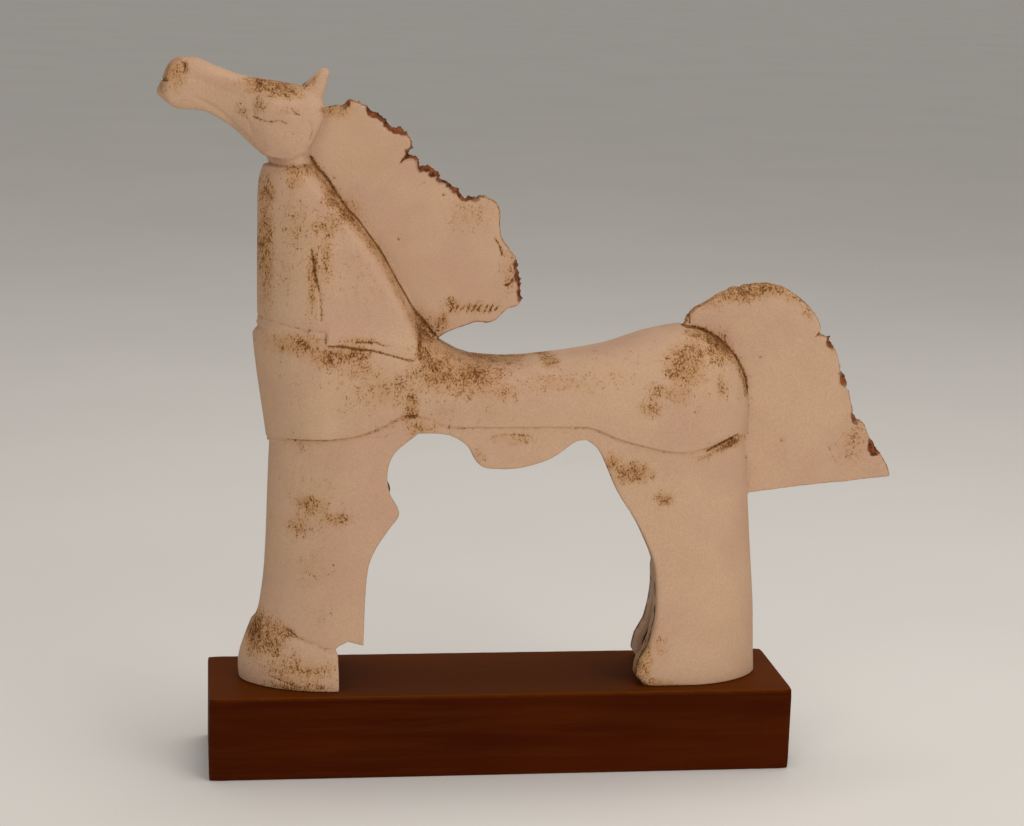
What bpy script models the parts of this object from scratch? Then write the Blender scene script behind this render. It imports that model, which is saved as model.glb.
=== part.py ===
"""Slab-built ceramic horse in the haniwa manner, standing on its wooden block.

Metres, +Z up. The origin is the centre of the block's underside, and +X runs to the tail.
The horse is one fired piece: clay slabs wrapped into hollow legs, body and neck, lapped over
each other, with a modelled head and with flat slabs for the mane and the tail.
"""
import math
import random

import bmesh
import bpy
from mathutils import Vector

# Figure: toe of the front hoof to heel of the hind foot, foot to muzzle, and over the legs
FIGURE_LENGTH = 0.3945
FIGURE_HEIGHT = 0.4595
FIGURE_WIDTH = 0.082
FIGURE_SHIFT = 0.00225

# Slabs
WALL = 0.007
LAP = 0.003
MANE_THICKNESS = 0.009
TAIL_THICKNESS = 0.008
HOOF_PROUD = 0.0015
NECK_STUB_INSET = 0.0016
NECK_STUB_STEP = 0.0008
NECK_STUB_RISE = 0.02
HOLLOW_STEP = 0.0005

# Wrapped ends, as lengths from the tip to where a side runs straight
HOOF_ROUND = 0.064
HEEL_ROUND = 0.056
CHEST_ROUND = 0.050
HAUNCH_ROUND = 0.056
NECK_FRONT_ROUND = 0.046
NECK_BACK_ROUND = 0.017
SLAB_BEND = 1.75
TIP_STEP = 0.0006

# How far the chest and the haunch tuck in towards their lower edges, and the neck's flared foot
CHEST_LEAN = 0.011
HAUNCH_LEAN = 0.003
NECK_FLARE = 0.004

# Turned-in front edges of the hind leg
CURL_REACH = 0.012
CURL_ROUND = 0.004
CURL_TOP = 30

# Broken edges
CRUMBLE_PITCH = 0.0036
CRUMBLE_DEPTH = 0.0013

# Block
BLOCK_HEIGHT = 0.0635
BLOCK_END_MARGIN = 0.02075
BLOCK_SIDE_MARGIN = 0.009
BLOCK_BEVEL = 0.0012
REST_GAP = 0.0003

# Profiles, in percent of the figure's length or height: how far along, then how far up
BACK = ((2, 57), (3, 57.8), (5, 58.7), (9, 58.6), (14.7, 58.3), (15.5, 59.8), (26.6, 59.2),
        (34.2, 57), (42.8, 53.5), (49.4, 53.1), (58, 53.8), (68.2, 55.3), (76.6, 57.7), (83.4, 58.7),
        (89, 57), (93, 54), (95.3, 49.6), (96.8, 43.5))
CREASE = ((2, 39.6), (8, 41), (19.5, 41.8), (25.3, 43.5), (30.4, 45.5), (34.7, 44.8), (37.8, 43.5),
          (62.9, 43.5), (70.2, 41.3), (81.6, 39.3), (88, 40.3), (92.3, 41.2), (96.8, 40.6))
NECK_FOOT = ((2.8, 55.9), (15.2, 56.1), (20.8, 55.7), (26.6, 55.1), (30.9, 54), (35.2, 52.9))
HEAD_TOP = ((-15.2, 94.9), (-13.9, 96.8), (-12.9, 99), (-10.9, 100), (-8.4, 99.9), (-4.8, 98.7),
            (0, 97.4), (5.8, 96.6), (10.4, 95.9), (12.7, 95.3), (14.4, 92.5))
HEAD_UNDER = ((-15.2, 94.2), (-13.7, 93.1), (-11.2, 91.9), (-7.6, 91.8), (-3, 90), (2.3, 86.1),
              (4.8, 84.7), (8.9, 84.6), (12.2, 84.7), (13.5, 86), (14.4, 89))

# Front and back edges, in percent: how far up, then how far along
HOOF_SCORE = 8.2
HOOF_SLOPE = 0.29
TOE_EDGE = ((0, 0.3), (1.7, 0), (6.1, 1.8), (10.2, 3.5), (20.7, 4.6), (35.9, 5.1), (46.8, 5.8))
HEEL_EDGE = ((0, 100), (12.4, 99.1), (25, 97.6), (38.5, 96.1), (46.8, 94.6))
THROAT_EDGE = ((52.9, 3), (65.3, 2.8), (77.7, 2.8), (81, 3), (83.6, 3.8))
NAPE_EDGE = ((52.9, 35.2), (59, 32.7), (65.3, 28.6), (74.6, 21.5), (81.4, 15), (83.6, 13.6))

# Half widths, in percent of the figure's half width: how far along or up, then how wide
HEAD_WIDE = ((-15.2, 12), (-14.4, 27), (-12.9, 41), (-10.9, 46), (-8.4, 41), (-5.3, 35),
             (-2.3, 37), (1.3, 46), (5.1, 57), (8.9, 61), (12, 59), (13.5, 50), (14.4, 30))
NECK_WIDE = ((52.9, 97), (62, 90), (83.6, 62))
BODY_WIDE = ((2, 100), (30.6, 100), (33.4, 96.5), (58, 96.5), (66, 100), (96.8, 100))

# How boxy the body is across, along its length: 2 is round
SQUARENESS = ((2, 9), (28, 8), (36, 3.2), (45, 2.9), (100, 2.6))

# Opening between the legs, up the front leg, along the belly lobe and down the hind leg
HOOF_NOTCH = ((0, 18.3), (5.9, 18), (7, 17.5), (7.6, 18.3), (8.3, 19.8), (7.6, 22.7))
FRONT_LEG_EDGE = ((7.6, 22.7), (18.7, 23.1), (22.9, 24.3), (26.6, 26.9), (29.4, 28.9), (32.6, 27.1),
                  (35.9, 26.6), (39.2, 27.9), (42.4, 32.2))
BELLY_EDGE = ((42.4, 32.2), (42.2, 37.3), (40.5, 41.1), (37.2, 43.9), (36.6, 47.1), (36.8, 51.5),
              (38.3, 57), (40.9, 61.3), (41.3, 63.6))
HIND_LEG_EDGE = ((41.3, 63.6), (39.2, 66.2), (32.4, 70), (26.6, 74.3), (19.4, 77.6), (13.3, 78.1),
                 (7.4, 77.1), (3.5, 75), (1.7, 74.8), (0, 76.6))

# How far the opening is cut further back on the far side, by how far up in percent
NEAR_SETBACK = ((0, 0), (40, 0))
FAR_SETBACK = ((0, 0.008), (3, 0.010), (16, 0.010), (21, 0.017), (30, 0.014), (40, 0))

# Mane and tail slabs: how far along, then how far up, with their roots inside the body
MANE_TOP = ((14.7, 92.6), (19.3, 94.1), (22.6, 92.7), (26.4, 90.5), (29.4, 89.7), (30.7, 87.7))
MANE_MIDDLE = ((28.4, 84), (31.7, 84.9), (34.2, 83.8), (36.5, 81.8), (40.8, 79.2), (45.9, 78.6))
MANE_TIP = ((45.9, 78.6), (47.7, 75.1), (48.2, 72.9), (50.4, 69.6), (51.7, 64.9), (51.5, 62.2))
MANE_UNDER = ((51.5, 62.2), (47.9, 60.3), (45.9, 59.1), (41.3, 58.3), (36.2, 56.4))
MANE_ROOT = ((31, 54), (26, 60), (16, 74), (10, 82), (8, 88))
TAIL_TOP = ((83.9, 61.2), (88, 63.3), (95.1, 65.5), (100.9, 65.3), (105.7, 63.1), (109, 59.8),
            (110, 58.3), (108.5, 56.6))
TAIL_BACK = ((111.3, 57), (112.3, 55.5), (115.1, 50.1), (116.6, 44.8), (119.6, 42.4), (120.7, 40),
             (122.4, 38.1), (124.7, 33.9))
TAIL_ROOT = ((95.4, 30.7), (94.6, 40), (90, 50), (80, 56), (83.4, 58.8))

# Ears and eyes, in percent: how far along, how far up and how far out
EAR_FOOT = (11.9, 94.6, 27)
EAR_TIP = (14.9, 98.5, 24)
EAR_LENGTH = 0.0095
EAR_THICKNESS = 0.0048
EYE_PLACE = (5.6, 93.1, 50)
EYE_SIZE = (0.0135, 0.0045, 0.0068)

# Facets
CAP_STEPS = 7
SIDE_STEPS = 3
SECTION_STEPS = 14
HEAD_STEPS = 20
RUN_STEPS = 3

TOE_X = FIGURE_SHIFT - FIGURE_LENGTH / 2
FOOT_Z = BLOCK_HEIGHT + REST_GAP
LEG_HALF = FIGURE_WIDTH / 2
BODY_HALF = LEG_HALF + LAP


def along(share):
    """World X of a share of the figure's length, in percent from the toe."""
    return TOE_X + FIGURE_LENGTH * share / 100


def up(share):
    """World Z of a share of the figure's height, in percent from the foot."""
    return FOOT_Z + FIGURE_HEIGHT * share / 100


def share_along(x):
    """Share of the figure's length at a world X."""
    return (x - TOE_X) / FIGURE_LENGTH * 100


def eased(points, place):
    """Value at a place on a smooth curve through points whose first numbers rise."""
    if place <= points[0][0]:
        return points[0][1]
    if place >= points[-1][0]:
        return points[-1][1]
    slopes = [(b[1] - a[1]) / (b[0] - a[0]) for a, b in zip(points, points[1:])]
    tangents = [slopes[0]]
    for before, after in zip(slopes, slopes[1:]):
        turns = before * after <= 0
        tangents.append(0.0 if turns else 2 * before * after / (before + after))
    tangents.append(slopes[-1])
    index = max(i for i, point in enumerate(points[:-1]) if point[0] <= place)
    (x0, y0), (x1, y1) = points[index], points[index + 1]
    t = (place - x0) / (x1 - x0)
    ends = y0 * (1 + 2 * t) * (1 - t) ** 2 + y1 * t * t * (3 - 2 * t)
    pull = tangents[index] * t * (1 - t) ** 2 - tangents[index + 1] * t * t * (1 - t)
    return ends + (x1 - x0) * pull


def run_through(points, steps=RUN_STEPS):
    """Smooth open run through points, which keeps both of its ends."""
    places = [Vector(point) for point in points]
    places = [2 * places[0] - places[1]] + places + [2 * places[-1] - places[-2]]
    run = []
    for before, start, end, after in zip(places, places[1:], places[2:], places[3:]):
        for step in range(steps):
            t = step / steps
            pull = (end - before) * t + (2 * before - 5 * start + 4 * end - after) * t * t
            run.append(start + (pull + (3 * start - before - 3 * end + after) * t ** 3) / 2)
    run.append(places[-2])
    return run


def crumbled(run, seed):
    """The run again with a broken edge: evenly spaced points, pushed to and fro across it."""
    dice = random.Random(seed)
    lengths = [(b - a).length for a, b in zip(run, run[1:])]
    count = max(2, round(sum(lengths) / CRUMBLE_PITCH))
    broken = [run[0]]
    for number in range(1, count):
        reach = sum(lengths) * number / count
        index = 0
        while reach > lengths[index]:
            reach -= lengths[index]
            index += 1
        way = (run[index + 1] - run[index]).normalized()
        across = Vector((-way.y, way.x)) * dice.uniform(-CRUMBLE_DEPTH, CRUMBLE_DEPTH)
        broken.append(run[index] + way * reach + across)
    broken.append(run[-1])
    return broken


def placed(points):
    """Points in percent along and up, as world X and Z."""
    return [(along(x), up(z)) for x, z in points]


def clay(name, mesh, guide=True):
    """Object from a finished bmesh, with its faces pointing out and cut into triangles."""
    mesh.normal_update()
    bmesh.ops.triangulate(mesh, faces=mesh.faces[:])
    bmesh.ops.recalc_face_normals(mesh, faces=mesh.faces[:])
    data = bpy.data.meshes.new(name)
    mesh.to_mesh(data)
    mesh.free()
    made = bpy.data.objects.new(name, data)
    bpy.context.scene.collection.objects.link(made)
    if guide:
        made.hide_render = True
        made.display_type = "WIRE"
    return made


def loft(name, rings, guide=True):
    """Closed body through rings of as many points each, with a fan over each end."""
    mesh = bmesh.new()
    rows = [[mesh.verts.new(point) for point in ring] for ring in rings]
    count = len(rows[0])
    for lower, upper in zip(rows, rows[1:]):
        for i in range(count):
            j = (i + 1) % count
            mesh.faces.new((lower[i], lower[j], upper[j], upper[i]))
    for row in (rows[0], rows[-1]):
        hub = mesh.verts.new(sum((vert.co for vert in row), Vector()) / count)
        for i in range(count):
            mesh.faces.new((row[i], row[(i + 1) % count], hub))
    return clay(name, mesh, guide)


def slab(name, outline, low_y, high_y):
    """Flat body with an outline in X and Z, between two values of Y."""
    mesh = bmesh.new()
    near = [mesh.verts.new((x, low_y, z)) for x, z in outline]
    far = [mesh.verts.new((x, high_y, z)) for x, z in outline]
    count = len(near)
    for i in range(count):
        j = (i + 1) % count
        mesh.faces.new((near[i], near[j], far[j], far[i]))
    mesh.faces.new(near)
    mesh.faces.new(far)
    return clay(name, mesh)


def oval_half(x, front, back, front_round, back_round, half):
    """Half width at x of a wrapped slab seen from above."""
    if x < front + front_round:
        share = (front + front_round - x) / front_round
    elif x > back - back_round:
        share = (x - back + back_round) / back_round
    else:
        share = 0.0
    share = min(share, 1.0)
    return half * (1 - share ** SLAB_BEND) ** (1 / SLAB_BEND)


def oval_places(front, back, front_round, back_round):
    """X places from the front of a wrapped slab to its back, closer together at its ends."""
    turns = [math.pi / 2 * step / CAP_STEPS for step in range(CAP_STEPS + 1)]
    nose = [front + front_round * (1 - math.cos(turn) ** (2 / SLAB_BEND)) for turn in turns]
    tail = [back - back_round * (1 - math.cos(turn) ** (2 / SLAB_BEND)) for turn in turns]
    start, end = nose[-1], tail[-1]
    side = [start + (end - start) * step / SIDE_STEPS for step in range(1, SIDE_STEPS)]
    return nose + side + tail[::-1]


def plan_ring(front, back, half, front_round, back_round, height):
    """Ring seen from above: tip, near side, back, far side. height gives Z at an X."""
    places = oval_places(front, back, front_round, back_round)
    near = [(x, -oval_half(x, front, back, front_round, back_round, half)) for x in places]
    far = [(x, -y) for x, y in near[-2:0:-1]]
    return [Vector((x, y, height(x))) for x, y in near + far]


def section_ring(x, half, low, high, squareness, lean):
    """Ring across the body: an upturned U with a flat underside."""
    ring = []
    for step in range(SECTION_STEPS + 1):
        turn = math.pi * step / SECTION_STEPS
        rise = math.sin(turn) ** (2 / squareness) if 0 < step < SECTION_STEPS else 0.0
        side = math.copysign(abs(math.cos(turn)) ** (2 / squareness), -math.cos(turn))
        ring.append(Vector((x + lean * (1 - rise) ** 1.2, side * half, low + (high - low) * rise)))
    return ring


def near_front(x):
    """1 at the front leg and 0 at the hind leg, for what only the front hoof has."""
    return min(1.0, max(0.0, (45 - share_along(x)) / 19))


def hoof_tilt(level, x):
    """How far up a level of the front leg tips towards the toe, where the hoof is scored."""
    fade = eased(((0, 0), (HOOF_SCORE, 1), (22, 0)), level)
    past_middle = 10.6 - min(share_along(x), 26)
    return FIGURE_HEIGHT / 100 * HOOF_SLOPE * past_middle * fade * near_front(x)


def legs_slab():
    """The slab wrapped round both legs, before the opening between them is cut."""
    rings = []
    for level in (-2, 0, 2.2, 4.8, 7.9, 8.5, 10.5, 14, 20.7, 29, 37, 46.8):
        ring = plan_ring(
            along(eased(TOE_EDGE, level)), along(eased(HEEL_EDGE, level)), LEG_HALF - HOOF_PROUD,
            HOOF_ROUND, HEEL_ROUND, lambda x, level=level: up(level) + hoof_tilt(level, x))
        if level < HOOF_SCORE:
            middle = along(17)
            for point in ring:
                out = Vector((min(0.0, point.x - middle), point.y, 0)).normalized()
                point += out * HOOF_PROUD * near_front(point.x)
        rings.append(ring)
    return loft("leg_slab", rings)


def legs_hollow():
    """What the wrapped leg slab leaves free inside, open below."""
    rings = []
    for level in (-3, 1.2, 6.1, 12, 25, 44):
        rings.append(plan_ring(
            along(eased(TOE_EDGE, level)) + WALL, along(eased(HEEL_EDGE, level)) - WALL,
            LEG_HALF - WALL, HOOF_ROUND - WALL / 2, HEEL_ROUND - WALL / 2,
            lambda x, level=level: up(level)))
    return loft("leg_hollow", rings)


def body_rings(inset, drop):
    """Rings of the body slab, taken in by inset all round and let down by drop below."""
    front, back = along(2) + inset, along(96.8) - inset
    half = BODY_HALF - inset
    rounds = (CHEST_ROUND - inset / 2, HAUNCH_ROUND - inset / 2)
    places = [x for x in oval_places(front, back, *rounds) if front < x < back]
    step_places = [along(14.6), along(15.4)]
    middle = [along(share) for share in range(26, 82, 4)]
    tips = [front + TIP_STEP, back - TIP_STEP]
    rings = []
    for x in sorted(places + step_places + middle + tips):
        share = share_along(x)
        lean = CHEST_LEAN * min(1.0, max(0.0, (20 - share) / 16))
        lean -= HAUNCH_LEAN * min(1.0, max(0.0, (share - 86) / 10))
        wide = oval_half(x, front, back, *rounds, half * eased(BODY_WIDE, share) / 100)
        rings.append(section_ring(x, wide, up(eased(CREASE, share)) - drop,
                                  up(eased(BACK, share)) - inset, eased(SQUARENESS, share), lean))
    return rings


def neck_rings(inset, top, foot_drop):
    """Rings of the neck slab, taken in by inset, up to top in percent of the height."""
    rings = []
    for share in (0, 0.12, 0.3, 0.5, 0.7, 0.86, 1):
        level = 52.9 + (top - 52.9) * share
        front = along(eased(THROAT_EDGE, level)) + inset
        back = along(eased(NAPE_EDGE, level)) - inset
        front_round = min(NECK_FRONT_ROUND, (back - front) * 0.55)
        back_round = min(NECK_BACK_ROUND, (back - front) * 0.35)

        def height(x, share=share):
            foot = up(eased(NECK_FOOT, share_along(x))) - foot_drop
            return foot + (up(top) - foot) * share

        half = LEG_HALF * eased(NECK_WIDE, level) / 100 - inset
        rings.append(plan_ring(front, back, half, front_round, back_round, height))
    return rings


def neck_slab():
    """The neck, lapped over the chest behind, with the narrower stub that the head is set on."""
    rings = neck_rings(0, 83.6, 0)
    for ring, flare in zip(rings, (1.0, 0.35, 0.05)):
        for point in ring:
            behind = min(1.0, max(0.0, (share_along(point.x) - 15) * 2))
            point.y += math.copysign(NECK_FLARE * flare * behind, point.y) if point.y else 0.0
    top = rings[-1]
    middle = sum(top, Vector()) / len(top)
    for rise in (NECK_STUB_STEP, NECK_STUB_RISE):
        stub = []
        for point in top:
            out = Vector((point.x - middle.x, point.y - middle.y, 0))
            stub.append(point - out.normalized() * NECK_STUB_INSET + Vector((0, 0, rise)))
        rings.append(stub)
    return loft("neck_slab", rings)


def head():
    """The modelled head, in rings across it from the muzzle to the poll."""
    shares = (-15.2, -14.8, -14.2, -13.3, -12, -10.4, -8.4, -6.4, -4.4, -2.2, 0, 2.2, 4.4, 6.6,
              8.8, 11, 12.8, 13.8, 14.4)
    rings = []
    for share in shares:
        top, under = up(eased(HEAD_TOP, share)), up(eased(HEAD_UNDER, share))
        half = LEG_HALF * eased(HEAD_WIDE, share) / 100
        ring = []
        for step in range(HEAD_STEPS):
            turn = 2 * math.pi * step / HEAD_STEPS
            side = math.copysign(abs(math.cos(turn)) ** 0.86, math.cos(turn))
            rise = math.copysign(abs(math.sin(turn)) ** 0.86, math.sin(turn))
            ring.append(Vector((along(share), half * side, (top + under + (top - under) * rise) / 2)))
        rings.append(ring)
    return loft("head_form", rings)


def ear(name, side):
    """One pinched ear, leaf shaped, leaning back from the poll."""
    foot = Vector((along(EAR_FOOT[0]), side * LEG_HALF * EAR_FOOT[2] / 100, up(EAR_FOOT[1])))
    tip = Vector((along(EAR_TIP[0]), side * LEG_HALF * EAR_TIP[2] / 100, up(EAR_TIP[1])))
    rings = []
    for share in (-0.35, 0, 0.35, 0.7, 1):
        length = EAR_LENGTH * (1.0, 1.0, 0.7, 0.38, 0.12)[len(rings)]
        thickness = EAR_THICKNESS * (1.0, 1.0, 0.85, 0.65, 0.3)[len(rings)]
        middle = foot.lerp(tip, share)
        turns = [2 * math.pi * step / 10 for step in range(10)]
        rings.append([middle + Vector((length * math.cos(turn), thickness * math.sin(turn), 0))
                      for turn in turns])
    return loft(name, rings)


def eye(name, side):
    """One eye, a low almond mound on the cheek."""
    mesh = bmesh.new()
    bmesh.ops.create_uvsphere(mesh, u_segments=12, v_segments=8, radius=1.0)
    place = Vector((along(EYE_PLACE[0]), side * LEG_HALF * EYE_PLACE[2] / 100, up(EYE_PLACE[1])))
    bmesh.ops.scale(mesh, vec=EYE_SIZE, verts=mesh.verts[:])
    bmesh.ops.translate(mesh, vec=place, verts=mesh.verts[:])
    return clay(name, mesh)


def mane():
    """The flat mane slab with its broken outer edge."""
    outline = []
    for seed, points in enumerate((MANE_TOP, MANE_MIDDLE, MANE_TIP)):
        run = [Vector(point) for point in placed(points)]
        outline += crumbled(run_through(run), seed)[: None if points is MANE_TOP else -1]
    outline += run_through([Vector(point) for point in placed(MANE_UNDER)])
    outline += [Vector(point) for point in placed(MANE_ROOT)]
    return slab("mane_slab", outline, -MANE_THICKNESS / 2, MANE_THICKNESS / 2)


def tail():
    """The flat tail slab, broken behind and cut straight below."""
    outline = run_through([Vector(point) for point in placed(TAIL_TOP)])
    outline += crumbled(run_through([Vector(point) for point in placed(TAIL_BACK)]), 7)
    outline += [Vector(point) for point in placed(TAIL_ROOT)]
    return slab("tail_slab", outline, -TAIL_THICKNESS / 2, TAIL_THICKNESS / 2)


def curl_share(level):
    """How far the hind leg's front edge is turned in at a level: 1 at the foot, 0 at its top."""
    return max(0.0, 1 - max(0.0, level) / CURL_TOP) ** 0.8


def leg_opening(name, side, setback):
    """Cutter for one wall between the legs: side is -1 for the near wall and 1 for the far one."""
    front = list(HOOF_NOTCH[:-1]) + run_through(FRONT_LEG_EDGE)[:-1] + run_through(BELLY_EDGE)[:-1]
    outline = [(along(share), up(level)) for level, share in front]
    for level, share in run_through(HIND_LEG_EDGE):
        shift = eased(setback, level) + CURL_ROUND * curl_share(level)
        outline.append((along(share) + shift, up(level)))
    below = FOOT_Z - 2 * WALL
    outline = [(outline[0][0], below)] + outline + [(outline[-1][0], below)]
    reach = BODY_HALF + WALL
    return slab(name, outline, min(0, side * reach), max(0, side * reach))


def hind_curl(name, side, setback):
    """Front edge of one hind leg wall, turned in more and more towards the foot."""
    edge = HIND_LEG_EDGE[::-1]
    wall = LEG_HALF - HOOF_PROUD
    rings = []
    for level in (-1, 0, 1.7, 4, 8, 13, 19, 25, CURL_TOP - 1):
        x = along(eased(edge, level)) + eased(setback, level)
        inner = wall - WALL - CURL_REACH * curl_share(level)
        corner = CURL_ROUND * curl_share(level)
        plan = ((x + WALL + corner, wall - HOLLOW_STEP), (x + corner, wall - HOLLOW_STEP),
                (x + corner * 0.3, wall - corner * 0.3 - HOLLOW_STEP),
                (x, wall - corner - HOLLOW_STEP), (x, inner), (x + WALL * 0.8, inner),
                (x + WALL, wall - WALL - corner * 0.5), (x + WALL + corner, wall - WALL + HOLLOW_STEP))
        rings.append([Vector((px, side * py, up(level))) for px, py in plan])
    return loft(name, rings)


def ground():
    """Cutter that makes the feet flat to stand on."""
    mesh = bmesh.new()
    bmesh.ops.create_cube(mesh, size=1.0)
    bmesh.ops.scale(mesh, vec=(2 * FIGURE_LENGTH, 2 * FIGURE_WIDTH, BLOCK_HEIGHT), verts=mesh.verts[:])
    bmesh.ops.translate(mesh, vec=(0, 0, FOOT_Z - BLOCK_HEIGHT / 2), verts=mesh.verts[:])
    return clay("ground", mesh)


def shape(target, operation, other, solver="EXACT"):
    """Add a Boolean to the target, which stays on it."""
    modifier = target.modifiers.new(other.name, "BOOLEAN")
    modifier.operation = operation
    modifier.solver = solver
    modifier.object = other


def horse():
    """The whole horse as one hollow fired piece."""
    body = loft("horse", body_rings(0, 0), guide=False)
    for part in (legs_slab(), neck_slab(), head(), ear("near_ear", -1), ear("far_ear", 1),
                 eye("near_eye", -1), eye("far_eye", 1), mane(), tail()):
        shape(body, "UNION", part)
    # Where walls nearly touch, the exact solver can leave an open sliver, and the other one doesn't
    shape(body, "DIFFERENCE", legs_hollow(), "MANIFOLD")
    inset = LAP + WALL + HOLLOW_STEP
    for cut in (loft("body_hollow", body_rings(inset, WALL * 2)),
                loft("neck_hollow", neck_rings(WALL, 81.6, WALL * 2)),
                leg_opening("near_opening", -1, NEAR_SETBACK),
                leg_opening("far_opening", 1, FAR_SETBACK)):
        shape(body, "DIFFERENCE", cut)
    for curl in (hind_curl("near_curl", -1, NEAR_SETBACK), hind_curl("far_curl", 1, FAR_SETBACK)):
        shape(body, "UNION", curl, "MANIFOLD")
    shape(body, "DIFFERENCE", ground(), "MANIFOLD")
    return body


def block():
    """The wooden block, with its edges just broken."""
    mesh = bmesh.new()
    bmesh.ops.create_cube(mesh, size=1.0)
    size = (FIGURE_LENGTH + 2 * BLOCK_END_MARGIN, FIGURE_WIDTH + 2 * BLOCK_SIDE_MARGIN, BLOCK_HEIGHT)
    bmesh.ops.scale(mesh, vec=size, verts=mesh.verts[:])
    bmesh.ops.translate(mesh, vec=(0, 0, BLOCK_HEIGHT / 2), verts=mesh.verts[:])
    bmesh.ops.bevel(mesh, geom=mesh.edges[:], offset=BLOCK_BEVEL, segments=2, profile=0.5,
                    affect="EDGES")
    return clay("block", mesh, guide=False)


def finish(name, colour, roughness):
    """A plain Principled material."""
    material = bpy.data.materials.new(name)
    material.use_nodes = True
    shader = material.node_tree.nodes["Principled BSDF"]
    shader.inputs["Base Color"].default_value = (*colour, 1)
    shader.inputs["Roughness"].default_value = roughness
    shader.inputs["Metallic"].default_value = 0.0
    return material


def main():
    """Clear the scene and build both pieces."""
    for old in list(bpy.data.objects):
        bpy.data.objects.remove(old, do_unlink=True)
    horse().data.materials.append(finish("slip_coated_clay", (0.66, 0.53, 0.43), 0.85))
    block().data.materials.append(finish("dark_hardwood", (0.09, 0.03, 0.015), 0.4))


main()
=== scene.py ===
"""Looks of a slab-built ceramic horse in the haniwa manner, on its dark wooden block.

Metres, +Z up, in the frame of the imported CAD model. +X runs to the tail, and the near side, which
the camera sees, faces -Y. Places on the figure are in percent of its length and height, or in
millimetres, as each list says.
"""

import logging  # noqa: E402
import math  # noqa: E402
import random  # noqa: E402
from collections.abc import Callable, Sequence  # noqa: E402
from dataclasses import dataclass, field  # noqa: E402
from enum import Enum  # noqa: E402

import bmesh  # noqa: E402
import bpy  # noqa: E402
import numpy as np  # noqa: E402
from mathutils import Matrix, Vector  # noqa: E402
from mathutils.bvhtree import BVHTree  # noqa: E402

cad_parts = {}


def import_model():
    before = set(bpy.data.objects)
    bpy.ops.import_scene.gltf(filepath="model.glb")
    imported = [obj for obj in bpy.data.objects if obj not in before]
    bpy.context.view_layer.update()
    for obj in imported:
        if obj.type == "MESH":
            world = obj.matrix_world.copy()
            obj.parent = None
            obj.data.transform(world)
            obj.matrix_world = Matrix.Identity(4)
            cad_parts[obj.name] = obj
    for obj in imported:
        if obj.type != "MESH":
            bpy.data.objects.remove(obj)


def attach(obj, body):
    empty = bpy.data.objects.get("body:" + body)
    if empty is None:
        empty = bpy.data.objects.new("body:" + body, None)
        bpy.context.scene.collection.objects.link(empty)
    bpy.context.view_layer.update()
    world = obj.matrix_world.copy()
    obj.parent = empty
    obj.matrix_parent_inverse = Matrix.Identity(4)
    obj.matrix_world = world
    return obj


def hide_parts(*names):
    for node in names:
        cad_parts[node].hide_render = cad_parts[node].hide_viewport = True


LOG = logging.getLogger("horse")
MM = 0.001

Array = np.ndarray
Place = tuple[float, float]
Run = tuple[Place, ...]
Colour = tuple[float, float, float]


class Side(Enum):
    """Which side of the figure a mark is on."""

    NEAR = -1
    BOTH = 0
    FAR = 1


class Curve:
    """Smooth curve through points whose first numbers rise."""

    def __init__(self, points: Sequence[Place]) -> None:
        """Keep the points and the slopes at them.

        Args:
            points: Place and value pairs, with rising places.
        """
        self.places, self.values = np.array(points, float).T
        slopes = np.diff(self.values) / np.diff(self.places)
        before, after = slopes[:-1], slopes[1:]
        same_way = before * after > 0
        total = np.where(same_way, before + after, 1.0)
        inner = np.where(same_way, 2 * before * after / total, 0.0)
        self.tangents = np.concatenate([slopes[:1], inner, slopes[-1:]])

    def at(self, place: float | Array) -> Array:
        """Value at each place.

        Args:
            place: One place or an array of them.

        Returns:
            The values, held at the ends.
        """
        place = np.clip(np.asarray(place, float), self.places[0], self.places[-1])
        index = np.clip(np.searchsorted(self.places, place, side="right") - 1, 0,
                        len(self.places) - 2)
        start, end = self.places[index], self.places[index + 1]
        t = (place - start) / (end - start)
        ends = self.values[index] * (1 + 2 * t) * (1 - t) ** 2
        ends = ends + self.values[index + 1] * t * t * (3 - 2 * t)
        pull = self.tangents[index] * t * (1 - t) ** 2 - self.tangents[index + 1] * t * t * (1 - t)
        return ends + (end - start) * pull


def smooth_run(points: Sequence[Sequence[float]], steps: int = 6) -> Array:
    """Smooth open run through points, which keeps both of its ends.

    Args:
        points: Points of two or three numbers.
        steps: How many points each stretch gets.

    Returns:
        The run, one row a point.
    """
    places = np.array(points, float)
    padded = np.vstack([2 * places[0] - places[1], places, 2 * places[-1] - places[-2]])
    t = (np.arange(steps) / steps)[:, None]
    stretches = []
    for before, start, end, after in zip(padded, padded[1:], padded[2:], padded[3:]):
        pull = (end - before) * t + (2 * before - 5 * start + 4 * end - after) * t ** 2
        stretches.append(start + (pull + (3 * start - before - 3 * end + after) * t ** 3) / 2)
    return np.vstack([*stretches, places[-1:]])


def soft_step(values: Array, low: float, high: float) -> Array:
    """0 below low, 1 above high and a soft rise between them.

    Args:
        values: What is measured.
        low: Where the rise starts.
        high: Where it ends.

    Returns:
        Shares from 0 to 1.
    """
    t = np.clip((values - low) / (high - low), 0.0, 1.0)
    return t * t * (3 - 2 * t)


def gap_to_run(points: Array, run: Array) -> tuple[Array, Array]:
    """How far points lie from a run of straight stretches.

    Args:
        points: Points, two numbers each.
        run: The run's corners, two numbers each.

    Returns:
        The distances, and how far along the run the nearest place is, counted in stretches.
    """
    best = np.full(len(points), np.inf)
    where = np.zeros(len(points))
    for number, (start, end) in enumerate(zip(run, run[1:])):
        way = end - start
        t = np.clip((points - start) @ way / max(way @ way, 1e-12), 0.0, 1.0)
        gap = np.linalg.norm(points - start - t[:, None] * way, axis=1)
        nearer = gap < best
        best[nearer] = gap[nearer]
        where[nearer] = number + t[nearer]
    return best, where


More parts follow.
